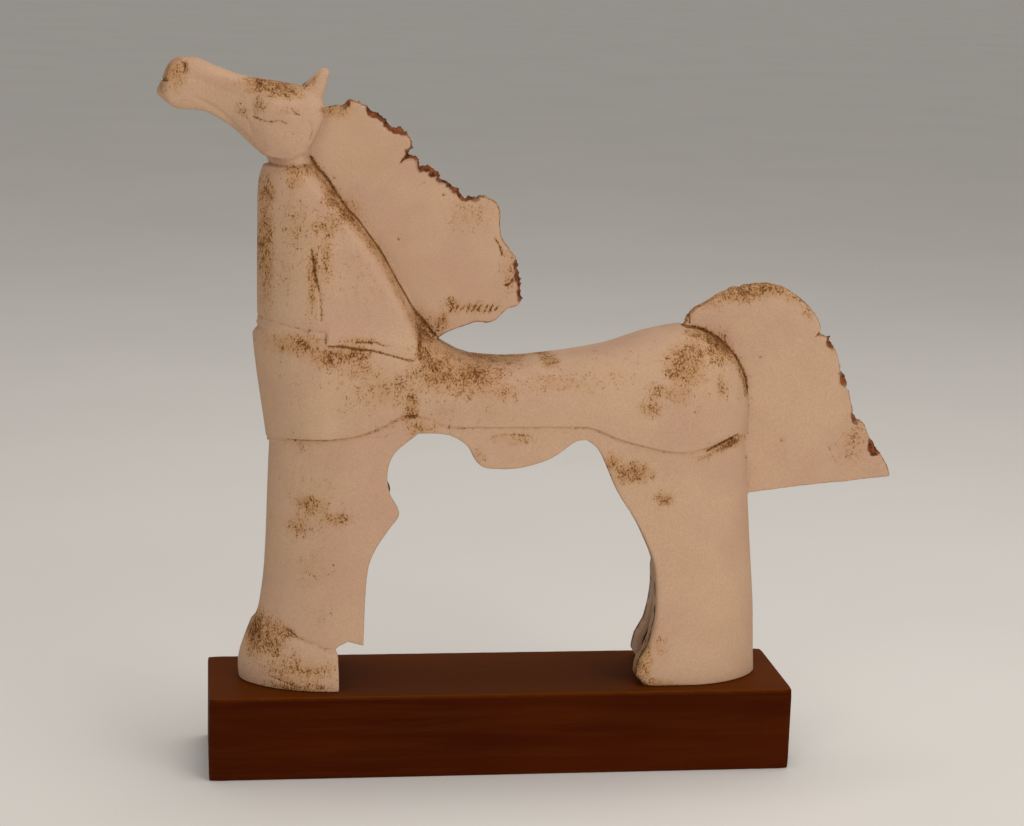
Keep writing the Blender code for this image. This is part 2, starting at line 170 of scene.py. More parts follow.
def new_piece(name: str, places: Array, faces: list[tuple[int, ...]]) -> bpy.types.Object:
    """Object from corner places and faces, with its faces pointing out.

    Args:
        name: Name of the object.
        places: Corner places, three numbers each.
        faces: Corner numbers of each face.

    Returns:
        The linked object.
    """
    data = bpy.data.meshes.new(name)
    data.from_pydata(places.tolist(), [], faces)
    mesh = bmesh.new()
    mesh.from_mesh(data)
    mesh.normal_update()
    bmesh.ops.triangulate(mesh, faces=[face for face in mesh.faces if len(face.verts) > 4])
    bmesh.ops.recalc_face_normals(mesh, faces=mesh.faces[:])
    mesh.to_mesh(data)
    mesh.free()
    piece = bpy.data.objects.new(name, data)
    bpy.context.scene.collection.objects.link(piece)
    return piece


def loft(name: str, rings: Array) -> bpy.types.Object:
    """Closed body through rings of as many points each, with a fan over each end.

    Args:
        name: Name of the object.
        rings: Array of rings by points by three.

    Returns:
        The linked object.
    """
    rows, count = rings.shape[:2]
    hubs = np.array([rings[0].mean(axis=0), rings[-1].mean(axis=0)])
    places = np.vstack([rings.reshape(-1, 3), hubs])
    faces = []
    for i in range(count):
        j = (i + 1) % count
        for row in range(0, (rows - 1) * count, count):
            faces.append((row + i, row + j, row + count + j, row + count + i))
        faces.append((i, j, rows * count))
        faces.append(((rows - 1) * count + i, (rows - 1) * count + j, rows * count + 1))
    return new_piece(name, places, faces)


def layered_slab(name: str, layers: Sequence[tuple[Array, float]]) -> bpy.types.Object:
    """Flat body through outlines in X and Z, each at its own Y.

    Args:
        name: Name of the object.
        layers: Outlines of as many points each, from the near face to the far one, with their Y.

    Returns:
        The linked object.
    """
    count = len(layers[0][0])
    rows = [np.column_stack([line[:, 0], np.full(count, y), line[:, 1]]) for line, y in layers]
    faces: list[tuple[int, ...]] = []
    for i in range(count):
        j = (i + 1) % count
        for row in range(0, (len(rows) - 1) * count, count):
            faces.append((row + i, row + j, row + count + j, row + count + i))
    last = (len(rows) - 1) * count
    faces.append(tuple(range(count)))
    faces.append(tuple(range(last, last + count)))
    return new_piece(name, np.vstack(rows), faces)


def shape(target: bpy.types.Object, operation: str, others: Sequence[bpy.types.Object],
          solver: str = "MANIFOLD") -> None:
    """Add or cut other bodies, one after the other, which are then gone.

    Args:
        target: The body that changes.
        operation: UNION or DIFFERENCE.
        others: The other bodies.
        solver: Blender's Boolean solver.
    """
    for other in others:
        modifier = target.modifiers.new(other.name, "BOOLEAN")
        modifier.operation = operation
        modifier.solver = solver
        modifier.object = other
    settle(target)
    for other in others:
        bpy.data.objects.remove(other, do_unlink=True)


def settle(piece: bpy.types.Object) -> None:
    """Turn a piece and its modifiers into a plain mesh."""
    graph = bpy.context.evaluated_depsgraph_get()
    made = bpy.data.meshes.new_from_object(piece.evaluated_get(graph))
    piece.modifiers.clear()
    old = piece.data
    piece.data = made
    bpy.data.meshes.remove(old)


def corner_places(data: bpy.types.Mesh) -> Array:
    """Corner places of a mesh, three numbers each."""
    places = np.empty(len(data.vertices) * 3, np.float32)
    data.vertices.foreach_get("co", places)
    return places.reshape(-1, 3).astype(float)


def corner_normals(data: bpy.types.Mesh) -> Array:
    """Outward directions at the corners of a mesh."""
    ways = np.empty(len(data.vertices) * 3, np.float32)
    data.vertex_normals.foreach_get("vector", ways)
    return ways.reshape(-1, 3).astype(float)


def move_corners(data: bpy.types.Mesh, places: Array) -> None:
    """Put a mesh's corners at new places."""
    data.vertices.foreach_set("co", places.astype(np.float32).ravel())
    data.update()


def write_layer(data: bpy.types.Mesh, name: str, values: Array) -> None:
    """Keep one value a corner under a name, in place of an older one."""
    old = data.attributes.get(name)
    if old:
        data.attributes.remove(old)
    layer = data.attributes.new(name, "FLOAT", "POINT")
    layer.data.foreach_set("value", values.astype(np.float32))


def neighbour_mean(data: bpy.types.Mesh, values: Array) -> Array:
    """Mean of the values at the corners that share an edge with each corner.

    Args:
        data: The mesh.
        values: One value a corner.

    Returns:
        One mean a corner.
    """
    ends = np.empty(len(data.edges) * 2, np.int32)
    data.edges.foreach_get("vertices", ends)
    first, second = ends[::2], ends[1::2]
    count = len(data.vertices)
    degree = np.bincount(first, minlength=count) + np.bincount(second, minlength=count)
    total = np.bincount(first, values[second], count) + np.bincount(second, values[first], count)
    return total / np.maximum(degree, 1)


# Figure


@dataclass(frozen=True)
class Figure:
    """Main sizes of the horse, and the way from percent of them to world places."""

    length: float = 0.3945
    height: float = 0.4595
    width: float = 0.082
    shift: float = 0.00225
    foot: float = 0.0638
    wall: float = 0.007
    lap: float = 0.003

    @property
    def leg_half(self) -> float:
        """Half the width over the legs."""
        return self.width / 2

    def along(self, share: float | Array) -> float | Array:
        """World X of a share of the length, in percent from the toe."""
        return self.shift - self.length / 2 + self.length * share / 100

    def up(self, share: float | Array) -> float | Array:
        """World Z of a share of the height, in percent from the foot."""
        return self.foot + self.height * share / 100

    def share_along(self, x: float | Array) -> float | Array:
        """Share of the length at a world X, in percent."""
        return (x - self.shift + self.length / 2) / self.length * 100

    def placed(self, points: Array) -> Array:
        """Points in percent along and up, as world X and Z."""
        return np.column_stack([self.along(points[:, 0]), self.up(points[:, 1])])


@dataclass(frozen=True)
class WrappedEnds:
    """Rounded ends of a slab wrapped into a flattened tube, seen from above."""

    front: float
    back: float
    bend: float = 1.75
    cap_steps: int = 20
    side_steps: int = 30

    def less(self, inset: float) -> "WrappedEnds":
        """The same ends for the inside of the wall."""
        return WrappedEnds(self.front - inset / 2, self.back - inset / 2, self.bend)

    def limited(self, front: float, back: float) -> "WrappedEnds":
        """The same ends, no longer than these."""
        return WrappedEnds(min(self.front, front), min(self.back, back), self.bend)

    def half_at(self, x: Array, front: float, back: float) -> Array:
        """Share of the half width at X places between a front and a back.

        Args:
            x: World X places.
            front: X of the front tip.
            back: X of the back tip.

        Returns:
            Shares from 0 at the tips to 1 along the sides.
        """
        nose = (front + self.front - x) / self.front
        tail = (x - back + self.back) / self.back
        share = np.clip(np.maximum(nose, tail), 0.0, 1.0)
        return (1 - share ** self.bend) ** (1 / self.bend)

    def places(self, front: float, back: float) -> Array:
        """X places from a front to a back, closer together at the tips."""
        turns = np.linspace(0, math.pi / 2, self.cap_steps)
        reach = 1 - np.cos(turns) ** (2 / self.bend)
        nose, tail = front + self.front * reach, back - self.back * reach
        side = np.linspace(nose[-1], tail[-1], self.side_steps)[1:-1]
        return np.concatenate([nose, side, tail[::-1]])

    def ring(self, front: float, back: float, half: float | Array,
             height: Callable[[Array], Array]) -> Array:
        """Ring seen from above: front tip, near side, back tip, far side.

        Args:
            front: X of the front tip.
            back: X of the back tip.
            half: Half width, or one for each of the places.
            height: Gives Z at X places.

        Returns:
            Points of the ring.
        """
        x = self.places(front, back)
        y = half * self.half_at(x, front, back)
        near = np.column_stack([x, -y, height(x)])
        far = near[-2:0:-1] * (1, -1, 1)
        return np.vstack([near, far])


@dataclass(frozen=True)
class LegSlab:
    """The slab wrapped round both legs, and the opening cut between them."""

    ends: WrappedEnds = WrappedEnds(0.064, 0.056)
    hoof_proud: float = 0.0015
    score: float = 8.2
    slope: float = 0.29
    curl_reach: float = 0.012
    curl_round: float = 0.004
    curl_top: float = 30
    toe: Curve = Curve(((0, 0.3), (1.7, 0), (6.1, 1.8), (10.2, 3.5), (20.7, 4.6), (35.9, 5.1),
                        (46.8, 5.8)))
    heel: Curve = Curve(((0, 100), (12.4, 99.1), (25, 97.6), (38.5, 96.1), (46.8, 94.6)))
    hoof_notch: Run = ((0, 18.3), (5.9, 18), (7, 17.5), (7.6, 18.3), (8.3, 19.8), (7.6, 22.7))
    front_leg: Run = ((7.6, 22.7), (18.7, 23.1), (22.9, 24.3), (26.6, 26.9), (29.4, 28.9),
                      (32.6, 27.1), (35.9, 26.6), (39.2, 27.9), (42.4, 32.2))
    belly: Run = ((42.4, 32.2), (42.2, 37.3), (40.5, 41.1), (37.2, 43.9), (36.6, 47.1),
                  (36.8, 51.5), (38.3, 57), (40.9, 61.3), (41.3, 63.6))
    hind_leg: Run = ((41.3, 63.6), (39.2, 66.2), (32.4, 70), (26.6, 74.3), (19.4, 77.6),
                     (13.3, 78.1), (7.4, 77.1), (3.5, 75), (1.7, 74.8), (0, 76.6))
    near_setback: Curve = Curve(((0, 0), (40, 0)))
    far_setback: Curve = Curve(((0, 0.008), (3, 0.010), (16, 0.010), (21, 0.017), (30, 0.014),
                                (40, 0)))

    def hoof_share(self, figure: Figure, x: Array) -> Array:
        """1 at the front leg and 0 at the hind leg."""
        return np.clip((45 - figure.share_along(x)) / 19, 0, 1)

    def tilt(self, figure: Figure, level: float, x: Array) -> Array:
        """How far up a level of the front leg tips towards the toe, where the hoof is scored."""
        fade = Curve(((0, 0), (self.score, 1), (22, 0))).at(level)
        past = 10.6 - np.minimum(figure.share_along(x), 26)
        return figure.height / 100 * self.slope * past * fade * self.hoof_share(figure, x)

    def outer(self, figure: Figure) -> bpy.types.Object:
        """The wrapped slab before anything is cut."""
        levels = np.concatenate([(-2, 0, 1.2, 2.2, 3.5, 4.8, 6, 7, 7.7),
                                 np.linspace(8.4, 46.8, 34)])
        rings = []
        for level in levels:
            ring = self.ends.ring(
                figure.along(float(self.toe.at(level))), figure.along(float(self.heel.at(level))),
                figure.leg_half - self.hoof_proud,
                lambda x, level=level: figure.up(level) + self.tilt(figure, level, x))
            if level < self.score:
                out = np.column_stack([np.minimum(0, ring[:, 0] - figure.along(17)), ring[:, 1]])
                out /= np.maximum(np.linalg.norm(out, axis=1), 1e-9)[:, None]
                push = self.hoof_proud * self.hoof_share(figure, ring[:, 0])
                ring[:, :2] += out * push[:, None]
            rings.append(ring)
        return loft("leg_slab", np.array(rings))

    def hollow(self, figure: Figure) -> bpy.types.Object:
        """What the wrapped slab leaves free inside, open below."""
        inner = self.ends.less(figure.wall)
        rings = [inner.ring(
            figure.along(float(self.toe.at(level))) + figure.wall,
            figure.along(float(self.heel.at(level))) - figure.wall, figure.leg_half - figure.wall,
            lambda x, level=level: np.full(len(x), figure.up(level)))
            for level in np.linspace(-3, 44, 18)]
        return loft("leg_hollow", np.array(rings))

    def curl_share(self, level: float) -> float:
        """How far the hind leg's front edge is turned in: 1 at the foot, 0 at its top."""
        return max(0.0, 1 - max(0.0, level) / self.curl_top) ** 0.8

    def opening(self, figure: Figure, side: Side) -> bpy.types.Object:
        """Cutter for one wall between the legs.

        Args:
            figure: The figure's sizes.
            side: The near or the far wall.

        Returns:
            The cutter.
        """
        setback = self.near_setback if side is Side.NEAR else self.far_setback
        front = [(x, z) for z, x in self.hoof_notch[:-1]]
        front += [(x, z) for z, x in smooth_run(self.front_leg)[:-1]]
        front += [(x, z) for z, x in smooth_run(self.belly)[:-1]]
        outline = figure.placed(np.array(front))
        back = smooth_run(self.hind_leg)
        hind = figure.placed(back[:, ::-1])
        hind[:, 0] += setback.at(back[:, 0])
        hind[:, 0] += [self.curl_round * self.curl_share(level) for level in back[:, 0]]
        below = figure.foot - 2 * figure.wall
        line = np.vstack([(outline[0, 0], below), outline, hind, (hind[-1, 0], below)])
        reach = figure.leg_half + 2 * figure.wall
        low, high = min(0, side.value * reach), max(0, side.value * reach)
        return layered_slab(f"{side.name.lower()}_opening", ((line, low), (line, high)))

    def curl(self, figure: Figure, side: Side) -> bpy.types.Object:
        """Front edge of one hind leg wall, turned in more and more towards the foot.

        Args:
            figure: The figure's sizes.
            side: The near or the far wall.

        Returns:
            The edge's body.
        """
        setback = self.near_setback if side is Side.NEAR else self.far_setback
        edge = Curve(self.hind_leg[::-1])
        wall = figure.leg_half - self.hoof_proud - 0.3 * MM
        rings = []
        for level in np.linspace(-1, self.curl_top - 1, 24):
            share = self.curl_share(level)
            x = figure.along(float(edge.at(level))) + float(setback.at(level))
            inner = wall - figure.wall - self.curl_reach * share
            corner = self.curl_round * share
            turns = np.linspace(0, math.pi / 2, 5)
            rim = [(x + corner * (1 - math.sin(turn)), wall - corner * (1 - math.cos(turn)))
                   for turn in turns]
            plan = [(x + figure.wall + corner, wall), *rim, (x, inner),
                    (x + figure.wall * 0.8, inner), (x + figure.wall, wall - figure.wall * 1.2),
                    (x + figure.wall + corner, wall - figure.wall)]
            rings.append([(px, side.value * py, figure.up(level)) for px, py in plan])
        return loft(f"{side.name.lower()}_curl", np.array(rings))


@dataclass(frozen=True)
class BodySlab:
    """The slab bent over the back, lapped over the legs from the chest to the haunch."""

    ends: WrappedEnds = WrappedEnds(0.050, 0.056)
    chest_lean: float = 0.011
    haunch_lean: float = 0.003
    steps: int = 64
    back: Curve = Curve(((2, 57), (3, 57.8), (5, 58.7), (9, 58.6), (14.7, 58.3), (15.5, 59.8),
                         (26.6, 59.2), (34.2, 57), (42.8, 53.5), (49.4, 53.1), (58, 53.8),
                         (68.2, 55.3), (76.6, 57.7), (83.4, 58.7), (89, 57), (93, 54),
                         (95.3, 49.6), (96.8, 43.5)))
    crease: Curve = Curve(((2, 39.6), (8, 41), (19.5, 41.8), (25.3, 43.5), (30.4, 45.5),
                           (34.7, 44.8), (37.8, 43.5), (62.9, 43.5), (70.2, 41.3), (81.6, 39.3),
                           (88, 40.3), (92.3, 41.2), (96.8, 40.6)))
    wide: Curve = Curve(((2, 100), (30.6, 100), (33.4, 96.5), (58, 96.5), (66, 100), (96.8, 100)))
    boxy: Curve = Curve(((2, 9), (28, 8), (36, 3.2), (45, 2.9), (100, 2.6)))
    lip_thin: Curve = Curve(((2, 3.0), (20, 3.2), (34, 3.0), (40, 1.6), (60, 1.6), (75, 1.8),
                             (96.8, 1.2)))
    lip_height: float = 0.016

    def rings(self, figure: Figure, inset: float, drop: float) -> Array:
        """Rings of the slab, taken in by inset all round and let down by drop below."""
        front, back = figure.along(2) + inset, figure.along(96.8) - inset
        half = figure.leg_half + figure.lap - inset
        ends = self.ends.less(inset)
        places = [x for x in ends.places(front, back) if front < x < back]
        places += [figure.along(14.6), figure.along(15.4), front + 0.15 * MM, back - 0.15 * MM]
        turns = np.linspace(0, math.pi, self.steps + 1)
        rings = []
        for x in sorted(places):
            share = float(figure.share_along(x))
            lean = self.chest_lean * min(1, max(0, (20 - share) / 16))
            lean -= self.haunch_lean * min(1, max(0, (share - 86) / 10))
            wide = half * float(self.wide.at(share)) / 100
            wide *= float(ends.half_at(np.array([x]), front, back)[0])
            low = figure.up(float(self.crease.at(share))) - drop
            high = figure.up(float(self.back.at(share))) - inset
            power = 2 / float(self.boxy.at(share))
            rise = np.abs(np.sin(turns)) ** power
            rise[[0, -1]] = 0
            side = -np.sign(np.cos(turns)) * np.abs(np.cos(turns)) ** power
            lip = 1 - soft_step((high - low) * rise, 0.002, self.lip_height)
            thin = lip * min(float(self.lip_thin.at(share)) * MM, wide * 0.5)
            rings.append(np.column_stack([x + lean * (1 - rise) ** 1.2, side * (wide - thin),
                                          low + (high - low) * rise]))
        return np.array(rings)

    def outer(self, figure: Figure) -> bpy.types.Object:
        """The bent slab, solid."""
        return loft("body_slab", self.rings(figure, 0, 0))

    def hollow(self, figure: Figure) -> bpy.types.Object:
        """What the bent slab leaves free inside."""
        inset = figure.lap + figure.wall + 0.5 * MM
        return loft("body_hollow", self.rings(figure, inset, figure.wall * 2))


@dataclass(frozen=True)
class NeckSlab:
    """The neck, lapped over the chest behind, with the narrower stub that carries the head."""

    ends: WrappedEnds = WrappedEnds(0.046, 0.017)
    flare: float = 0.004
    top: float = 83.6
    stub: Run = ((1.8, 0.2), (3.2, 0.8), (3.8, 4.5), (4.2, 20))
    throat: Curve = Curve(((52.9, 3), (65.3, 2.8), (77.7, 2.8), (81, 3), (83.6, 3.8)))
    nape: Curve = Curve(((52.9, 35.2), (59, 32.7), (65.3, 28.6), (74.6, 21.5), (81.4, 15),
                         (83.6, 13.6)))
    wide: Curve = Curve(((52.9, 97), (62, 90), (83.6, 62)))
    foot: Curve = Curve(((2.8, 55.9), (15.2, 56.1), (20.8, 55.7), (26.6, 55.1), (30.9, 54),
                         (35.2, 52.9)))

    def rings(self, figure: Figure, inset: float, top: float, drop: float) -> Array:
        """Rings of the neck, taken in by inset, up to top in percent of the height."""
        rings = []
        for share in np.concatenate([np.linspace(0, 0.16, 5), np.linspace(0.2, 1, 20)]):
            level = 52.9 + (top - 52.9) * share
            front = figure.along(float(self.throat.at(level))) + inset
            back = figure.along(float(self.nape.at(level))) - inset
            ends = self.ends.limited((back - front) * 0.55, (back - front) * 0.35)

            def height(x: Array, share: float = share) -> Array:
                """Z at X places, from the sloping foot to the level top."""
                foot = figure.up(self.foot.at(figure.share_along(x))) - drop
                return foot + (figure.up(top) - foot) * share

            half = figure.leg_half * float(self.wide.at(level)) / 100 - inset
            rings.append(ends.ring(front, back, half, height))
        return np.array(rings)

    def outer(self, figure: Figure) -> bpy.types.Object:
        """The neck with its flared foot and its stub."""
        rings = self.rings(figure, 0, self.top, 0)
        for ring, share in zip(rings, (1.0, 0.72, 0.42, 0.18, 0.04)):
            behind = np.clip((figure.share_along(ring[:, 0]) - 15) * 2, 0, 1)
            ring[:, 1] += np.sign(ring[:, 1]) * self.flare * share * behind
        top = rings[-1]
        out = (top - top.mean(axis=0)) * (1, 1, 0)
        out /= np.linalg.norm(out, axis=1)[:, None]
        stubs = [top - out * inset * MM + (0, 0, rise * MM) for inset, rise in self.stub]
        return loft("neck_slab", np.vstack([rings, stubs]))

    def hollow(self, figure: Figure) -> bpy.types.Object:
        """What the neck leaves free inside."""
        return loft("neck_hollow", self.rings(figure, figure.wall, 81.6, figure.wall * 2))


@dataclass(frozen=True)
class Head:
    """The modelled head with its ears."""

    top: Curve = Curve(((-15.2, 94.9), (-13.9, 96.8), (-12.9, 99), (-10.9, 100), (-8.4, 99.9),
                        (-4.8, 98.7), (0, 97.4), (5.8, 96.6), (10.4, 95.9), (12.9, 95.4),
                        (14.2, 94.4), (14.9, 92.4)))
    under: Curve = Curve(((-15.2, 94.2), (-13.7, 93.1), (-11.2, 91.9), (-7.6, 91.8), (-3, 90),
                          (2.3, 86.1), (4.8, 84.5), (7.5, 84.1), (9.6, 84.3), (11.4, 85.3),
                          (12.7, 87), (13.8, 89), (14.9, 91.7)))
    wide: Curve = Curve(((-15.2, 12), (-14.4, 27), (-12.9, 41), (-10.9, 46), (-8.4, 41),
                         (-5.3, 37), (-2.3, 39), (1.3, 48), (5.1, 58), (8.9, 63), (12, 62),
                         (13.6, 56), (14.5, 46), (14.9, 36)))
    taper: Curve = Curve(((-15.2, 0.05), (-13, 0.12), (-11.6, 0.5), (-4, 0.55), (1, 0.34), (6, 0.1),
                          (14.9, 0.06)))
    boxy: float = 0.8
    steps: int = 52
    ear_foot: tuple[float, float, float] = (11.9, 94.6, 27)
    ear_tip: tuple[float, float, float] = (14.9, 98.5, 24)
    ear_length: float = 0.0105
    ear_thickness: float = 0.0052

    def outer(self, figure: Figure) -> bpy.types.Object:
        """The head's closed form, from the muzzle to the poll."""
        shares = np.concatenate([-15.2 + 0.8 * np.linspace(0, 1, 5) ** 2,
                                 np.linspace(-14, 13.4, 44), (13.9, 14.3, 14.6, 14.8, 14.9)])
        turns = np.linspace(0, 2 * math.pi, self.steps, endpoint=False)
        rings = []
        for share in shares:
            top, under = (figure.up(float(line.at(share))) for line in (self.top, self.under))
            half = figure.leg_half * float(self.wide.at(share)) / 100
            side = np.sign(np.cos(turns)) * np.abs(np.cos(turns)) ** self.boxy
            jaw = 0.35 * float(soft_step(np.array([share]), 0.0, 6.0)[0])
            power = np.where(np.sin(turns) < 0, self.boxy - jaw, self.boxy)
            rise = np.sign(np.sin(turns)) * np.abs(np.sin(turns)) ** power
            side = side * (1 - float(self.taper.at(share)) * (0.5 - 0.5 * rise))
            rings.append(np.column_stack([np.full(self.steps, figure.along(share)), half * side,
                                          (top + under + (top - under) * rise) / 2]))
        return loft("head_form", np.array(rings))

    def ear(self, figure: Figure, side: Side) -> bpy.types.Object:
        """One pinched ear, leaf shaped, leaning back from the poll."""
        foot, tip = (np.array([figure.along(x), side.value * figure.leg_half * y / 100,
                               figure.up(z)]) for x, z, y in (self.ear_foot, self.ear_tip))
        turns = np.linspace(0, 2 * math.pi, 20, endpoint=False)
        rings = []
        sizes = zip((-0.35, 0, 0.2, 0.4, 0.6, 0.8, 0.92, 1),
                    (1, 1, 0.86, 0.72, 0.56, 0.42, 0.33, 0.22),
                    (1, 1, 0.95, 0.86, 0.75, 0.6, 0.45, 0.25))
        for share, length, thickness in sizes:
            ring = foot + (tip - foot) * share + np.column_stack([
                self.ear_length * length * np.cos(turns),
                self.ear_thickness * thickness * np.sin(turns), np.zeros(len(turns))])
            rings.append(ring)
        return loft(f"{side.name.lower()}_ear", np.array(rings))


@dataclass(frozen=True)
class EdgedSlab:
    """A flat slab whose edge is broken: x, z and how far the near face is set in, in mm."""

    name: str
    thickness: float
    edge: tuple[tuple[float, float, float], ...]
    root: Run
    seed: int
    ridge: float = 0.001
    grain: float = 0.0006
    broken_wider: float = 1.3

    def lines(self, figure: Figure) -> tuple[Array, Array, Array]:
        """Outlines of the near face, the silhouette and the far face.

        Args:
            figure: The figure's sizes.

        Returns:
            The three outlines in X and Z, of as many points each.
        """
        edge = np.array(self.edge) * MM
        fine = smooth_run(edge, 4)
        outline, inset = fine[:, :2], np.maximum(fine[:, 2] * self.broken_wider, 0.35 * MM)
        way = np.gradient(outline, axis=0)
        way /= np.linalg.norm(way, axis=1)[:, None]
        inward = np.column_stack([way[:, 1], -way[:, 0]])
        dice = np.random.default_rng(self.seed)
        rough = dice.normal(0, 1, (3, len(outline)))
        broken = soft_step(inset, 1.2 * MM, 3 * MM)
        far = np.roll(inset, 9) * 0.7 + 0.4 * MM
        lines = []
        for depth, wave in ((inset, rough[0]), (0 * inset, rough[1]), (far, rough[2])):
            push = depth + wave * self.grain * (0.2 + broken)
            lines.append(outline + inward * push[:, None])
        root = figure.placed(np.array(self.root))
        near, middle, back = (np.vstack([line, root]) for line in lines)
        return near, middle, back

    def outer(self, figure: Figure) -> bpy.types.Object:
        """The slab, with its broken edge sloping from the near face to the silhouette."""
        near, middle, far = self.lines(figure)
        half = self.thickness / 2
        return layered_slab(self.name, ((near, -half), (middle, self.ridge), (far, half)))

    def gap_to_edge(self, places: Array) -> tuple[Array, Array, Array]:
        """How far places near the slab lie from its outline.

        Args:
            places: World places.

        Returns:
            Which places are near the slab, and their distances and places along the outline.
        """
        outline = np.array(self.edge)[:, :2] * MM
        flat = places[:, [0, 2]]
        low, high = outline.min(axis=0) - 2 * MM, outline.max(axis=0) + 2 * MM
        here = np.all((flat > low) & (flat < high), axis=1)
        here &= np.abs(places[:, 1]) < self.thickness * 0.6
        return here, *gap_to_run(flat[here], outline)

    def bare_share(self, places: Array) -> Array:
        """How much of the slip is broken off at places near this slab.

        Args:
            places: World places.

        Returns:
            Shares from 0 to 1.
        """
        edge = np.array(self.edge) * MM
        here, gap, where = self.gap_to_edge(places)
        share = np.zeros(len(places))
        index = np.clip(where.astype(int), 0, len(edge) - 2)
        part = where - index
        inset = edge[index, 2] * (1 - part) + edge[index + 1, 2] * part
        depth = self.thickness / 2 - np.abs(places[here, 1])
        on_edge = soft_step(depth, 0.1 * MM, 0.6 * MM) * (gap < inset * self.broken_wider + 2 * MM)
        share[here] = on_edge * soft_step(inset, 1.5 * MM, 2.6 * MM)
        return share

    def rim_share(self, places: Array) -> Array:
        """How close places are to the slab's outline, where the edge is chipped and stained."""
        here, gap, _ = self.gap_to_edge(places)
        share = np.zeros(len(places))
        share[here] = 1 - soft_step(gap, 0.8 * MM, 2.4 * MM)
        return share


# Marks in the clay: x and z in millimetres


@dataclass(frozen=True)
class Stroke:
    """One pressed, cut or cracked line."""

    places: Run
    half_width: float = 1.4
    depth: float = 0.8
    dirt: float = 0.8
    side: Side = Side.BOTH

    def weight(self, places: Array) -> tuple[Array, Array]:
        """How close corners are to the line.

        Args:
            places: World places.

        Returns:
            Numbers of the corners that it reaches, and their shares from 0 to 1.
        """
        run = smooth_run(self.places, 4) if len(self.places) > 2 else np.array(self.places)
        run = run * MM
        reach = self.half_width * MM
        flat = places[:, [0, 2]]
        here = np.all((flat > run.min(axis=0) - reach) & (flat < run.max(axis=0) + reach), axis=1)
        if self.side is not Side.BOTH:
            here &= places[:, 1] * self.side.value > 1 * MM
        index = np.nonzero(here)[0]
        gap, where = gap_to_run(flat[index], run)
        taper = np.minimum(1, np.minimum(where, len(run) - 1 - where) * 0.5 + 0.45)
        return index, np.clip(1 - (gap / (reach * taper)) ** 2, 0, 1) ** 2


@dataclass(frozen=True)
class Mound:
    """One raised or hollowed place: x, z, half sizes and height in millimetres."""

    x: float
    z: float
    half_x: float
    half_z: float
    height: float
    turn: float = 0.0
    side: Side = Side.BOTH

    def weight(self, places: Array) -> Array:
        """Share of the mound's height at each place."""
        dx, dz = places[:, 0] / MM - self.x, places[:, 2] / MM - self.z
        cos, sin = math.cos(self.turn), math.sin(self.turn)
        across = ((dx * cos + dz * sin) / self.half_x) ** 2
        across += ((dz * cos - dx * sin) / self.half_z) ** 2
        share = np.clip(1 - across, 0, 1) ** 1.5
        if self.side is not Side.BOTH:
            share = share * (places[:, 1] * self.side.value > 0)
        return share


@dataclass(frozen=True)
class Marks:
    """What is pressed into and stained on the horse."""

    strokes: tuple[Stroke, ...]
    mounds: tuple[Mound, ...]
    stains: tuple[tuple[float, float, float, float, float], ...]
    seed: int = 5

    def press(self, data: bpy.types.Mesh) -> None:
        """Move a mesh's corners for every mound and stroke."""
        places, ways = corner_places(data), corner_normals(data)
        for mound in self.mounds:
            places += ways * (mound.weight(places) * mound.height * MM)[:, None]
        for stroke in self.strokes:
            index, share = stroke.weight(places)
            places[index] -= ways[index] * (share * stroke.depth * MM)[:, None]
        move_corners(data, places)

    def dirt(self, places: Array) -> Array:
        """Dark slip left in the lines, from 0 to 1."""
        share = np.zeros(len(places))
        for stroke in self.strokes:
            index, weight = stroke.weight(places)
            share[index] = np.maximum(share[index], weight * stroke.dirt)
        return share

    def stain(self, places: Array) -> Array:
        """How densely the brown specks stand, from 0 to 1, with the far side in its own order."""
        dice = random.Random(self.seed)
        share = np.zeros(len(places))
        far = places[:, 1] > 0
        for x, z, half_x, half_z, strength in self.stains:
            shift_x, shift_z, scale = (dice.uniform(-9, 9), dice.uniform(-7, 7),
                                       dice.uniform(0.75, 1.2))
            dx = places[:, 0] / MM - np.where(far, x + shift_x, x)
            dz = places[:, 2] / MM - np.where(far, z + shift_z, z)
            size = np.where(far, scale, 1.0) * 1.25
            gap = (dx / half_x / size) ** 2 + (dz / half_z / size) ** 2
            share = np.maximum(share, strength * np.exp(-gap * 1.1))
        return np.clip(share, 0, 1.0)


# Node trees


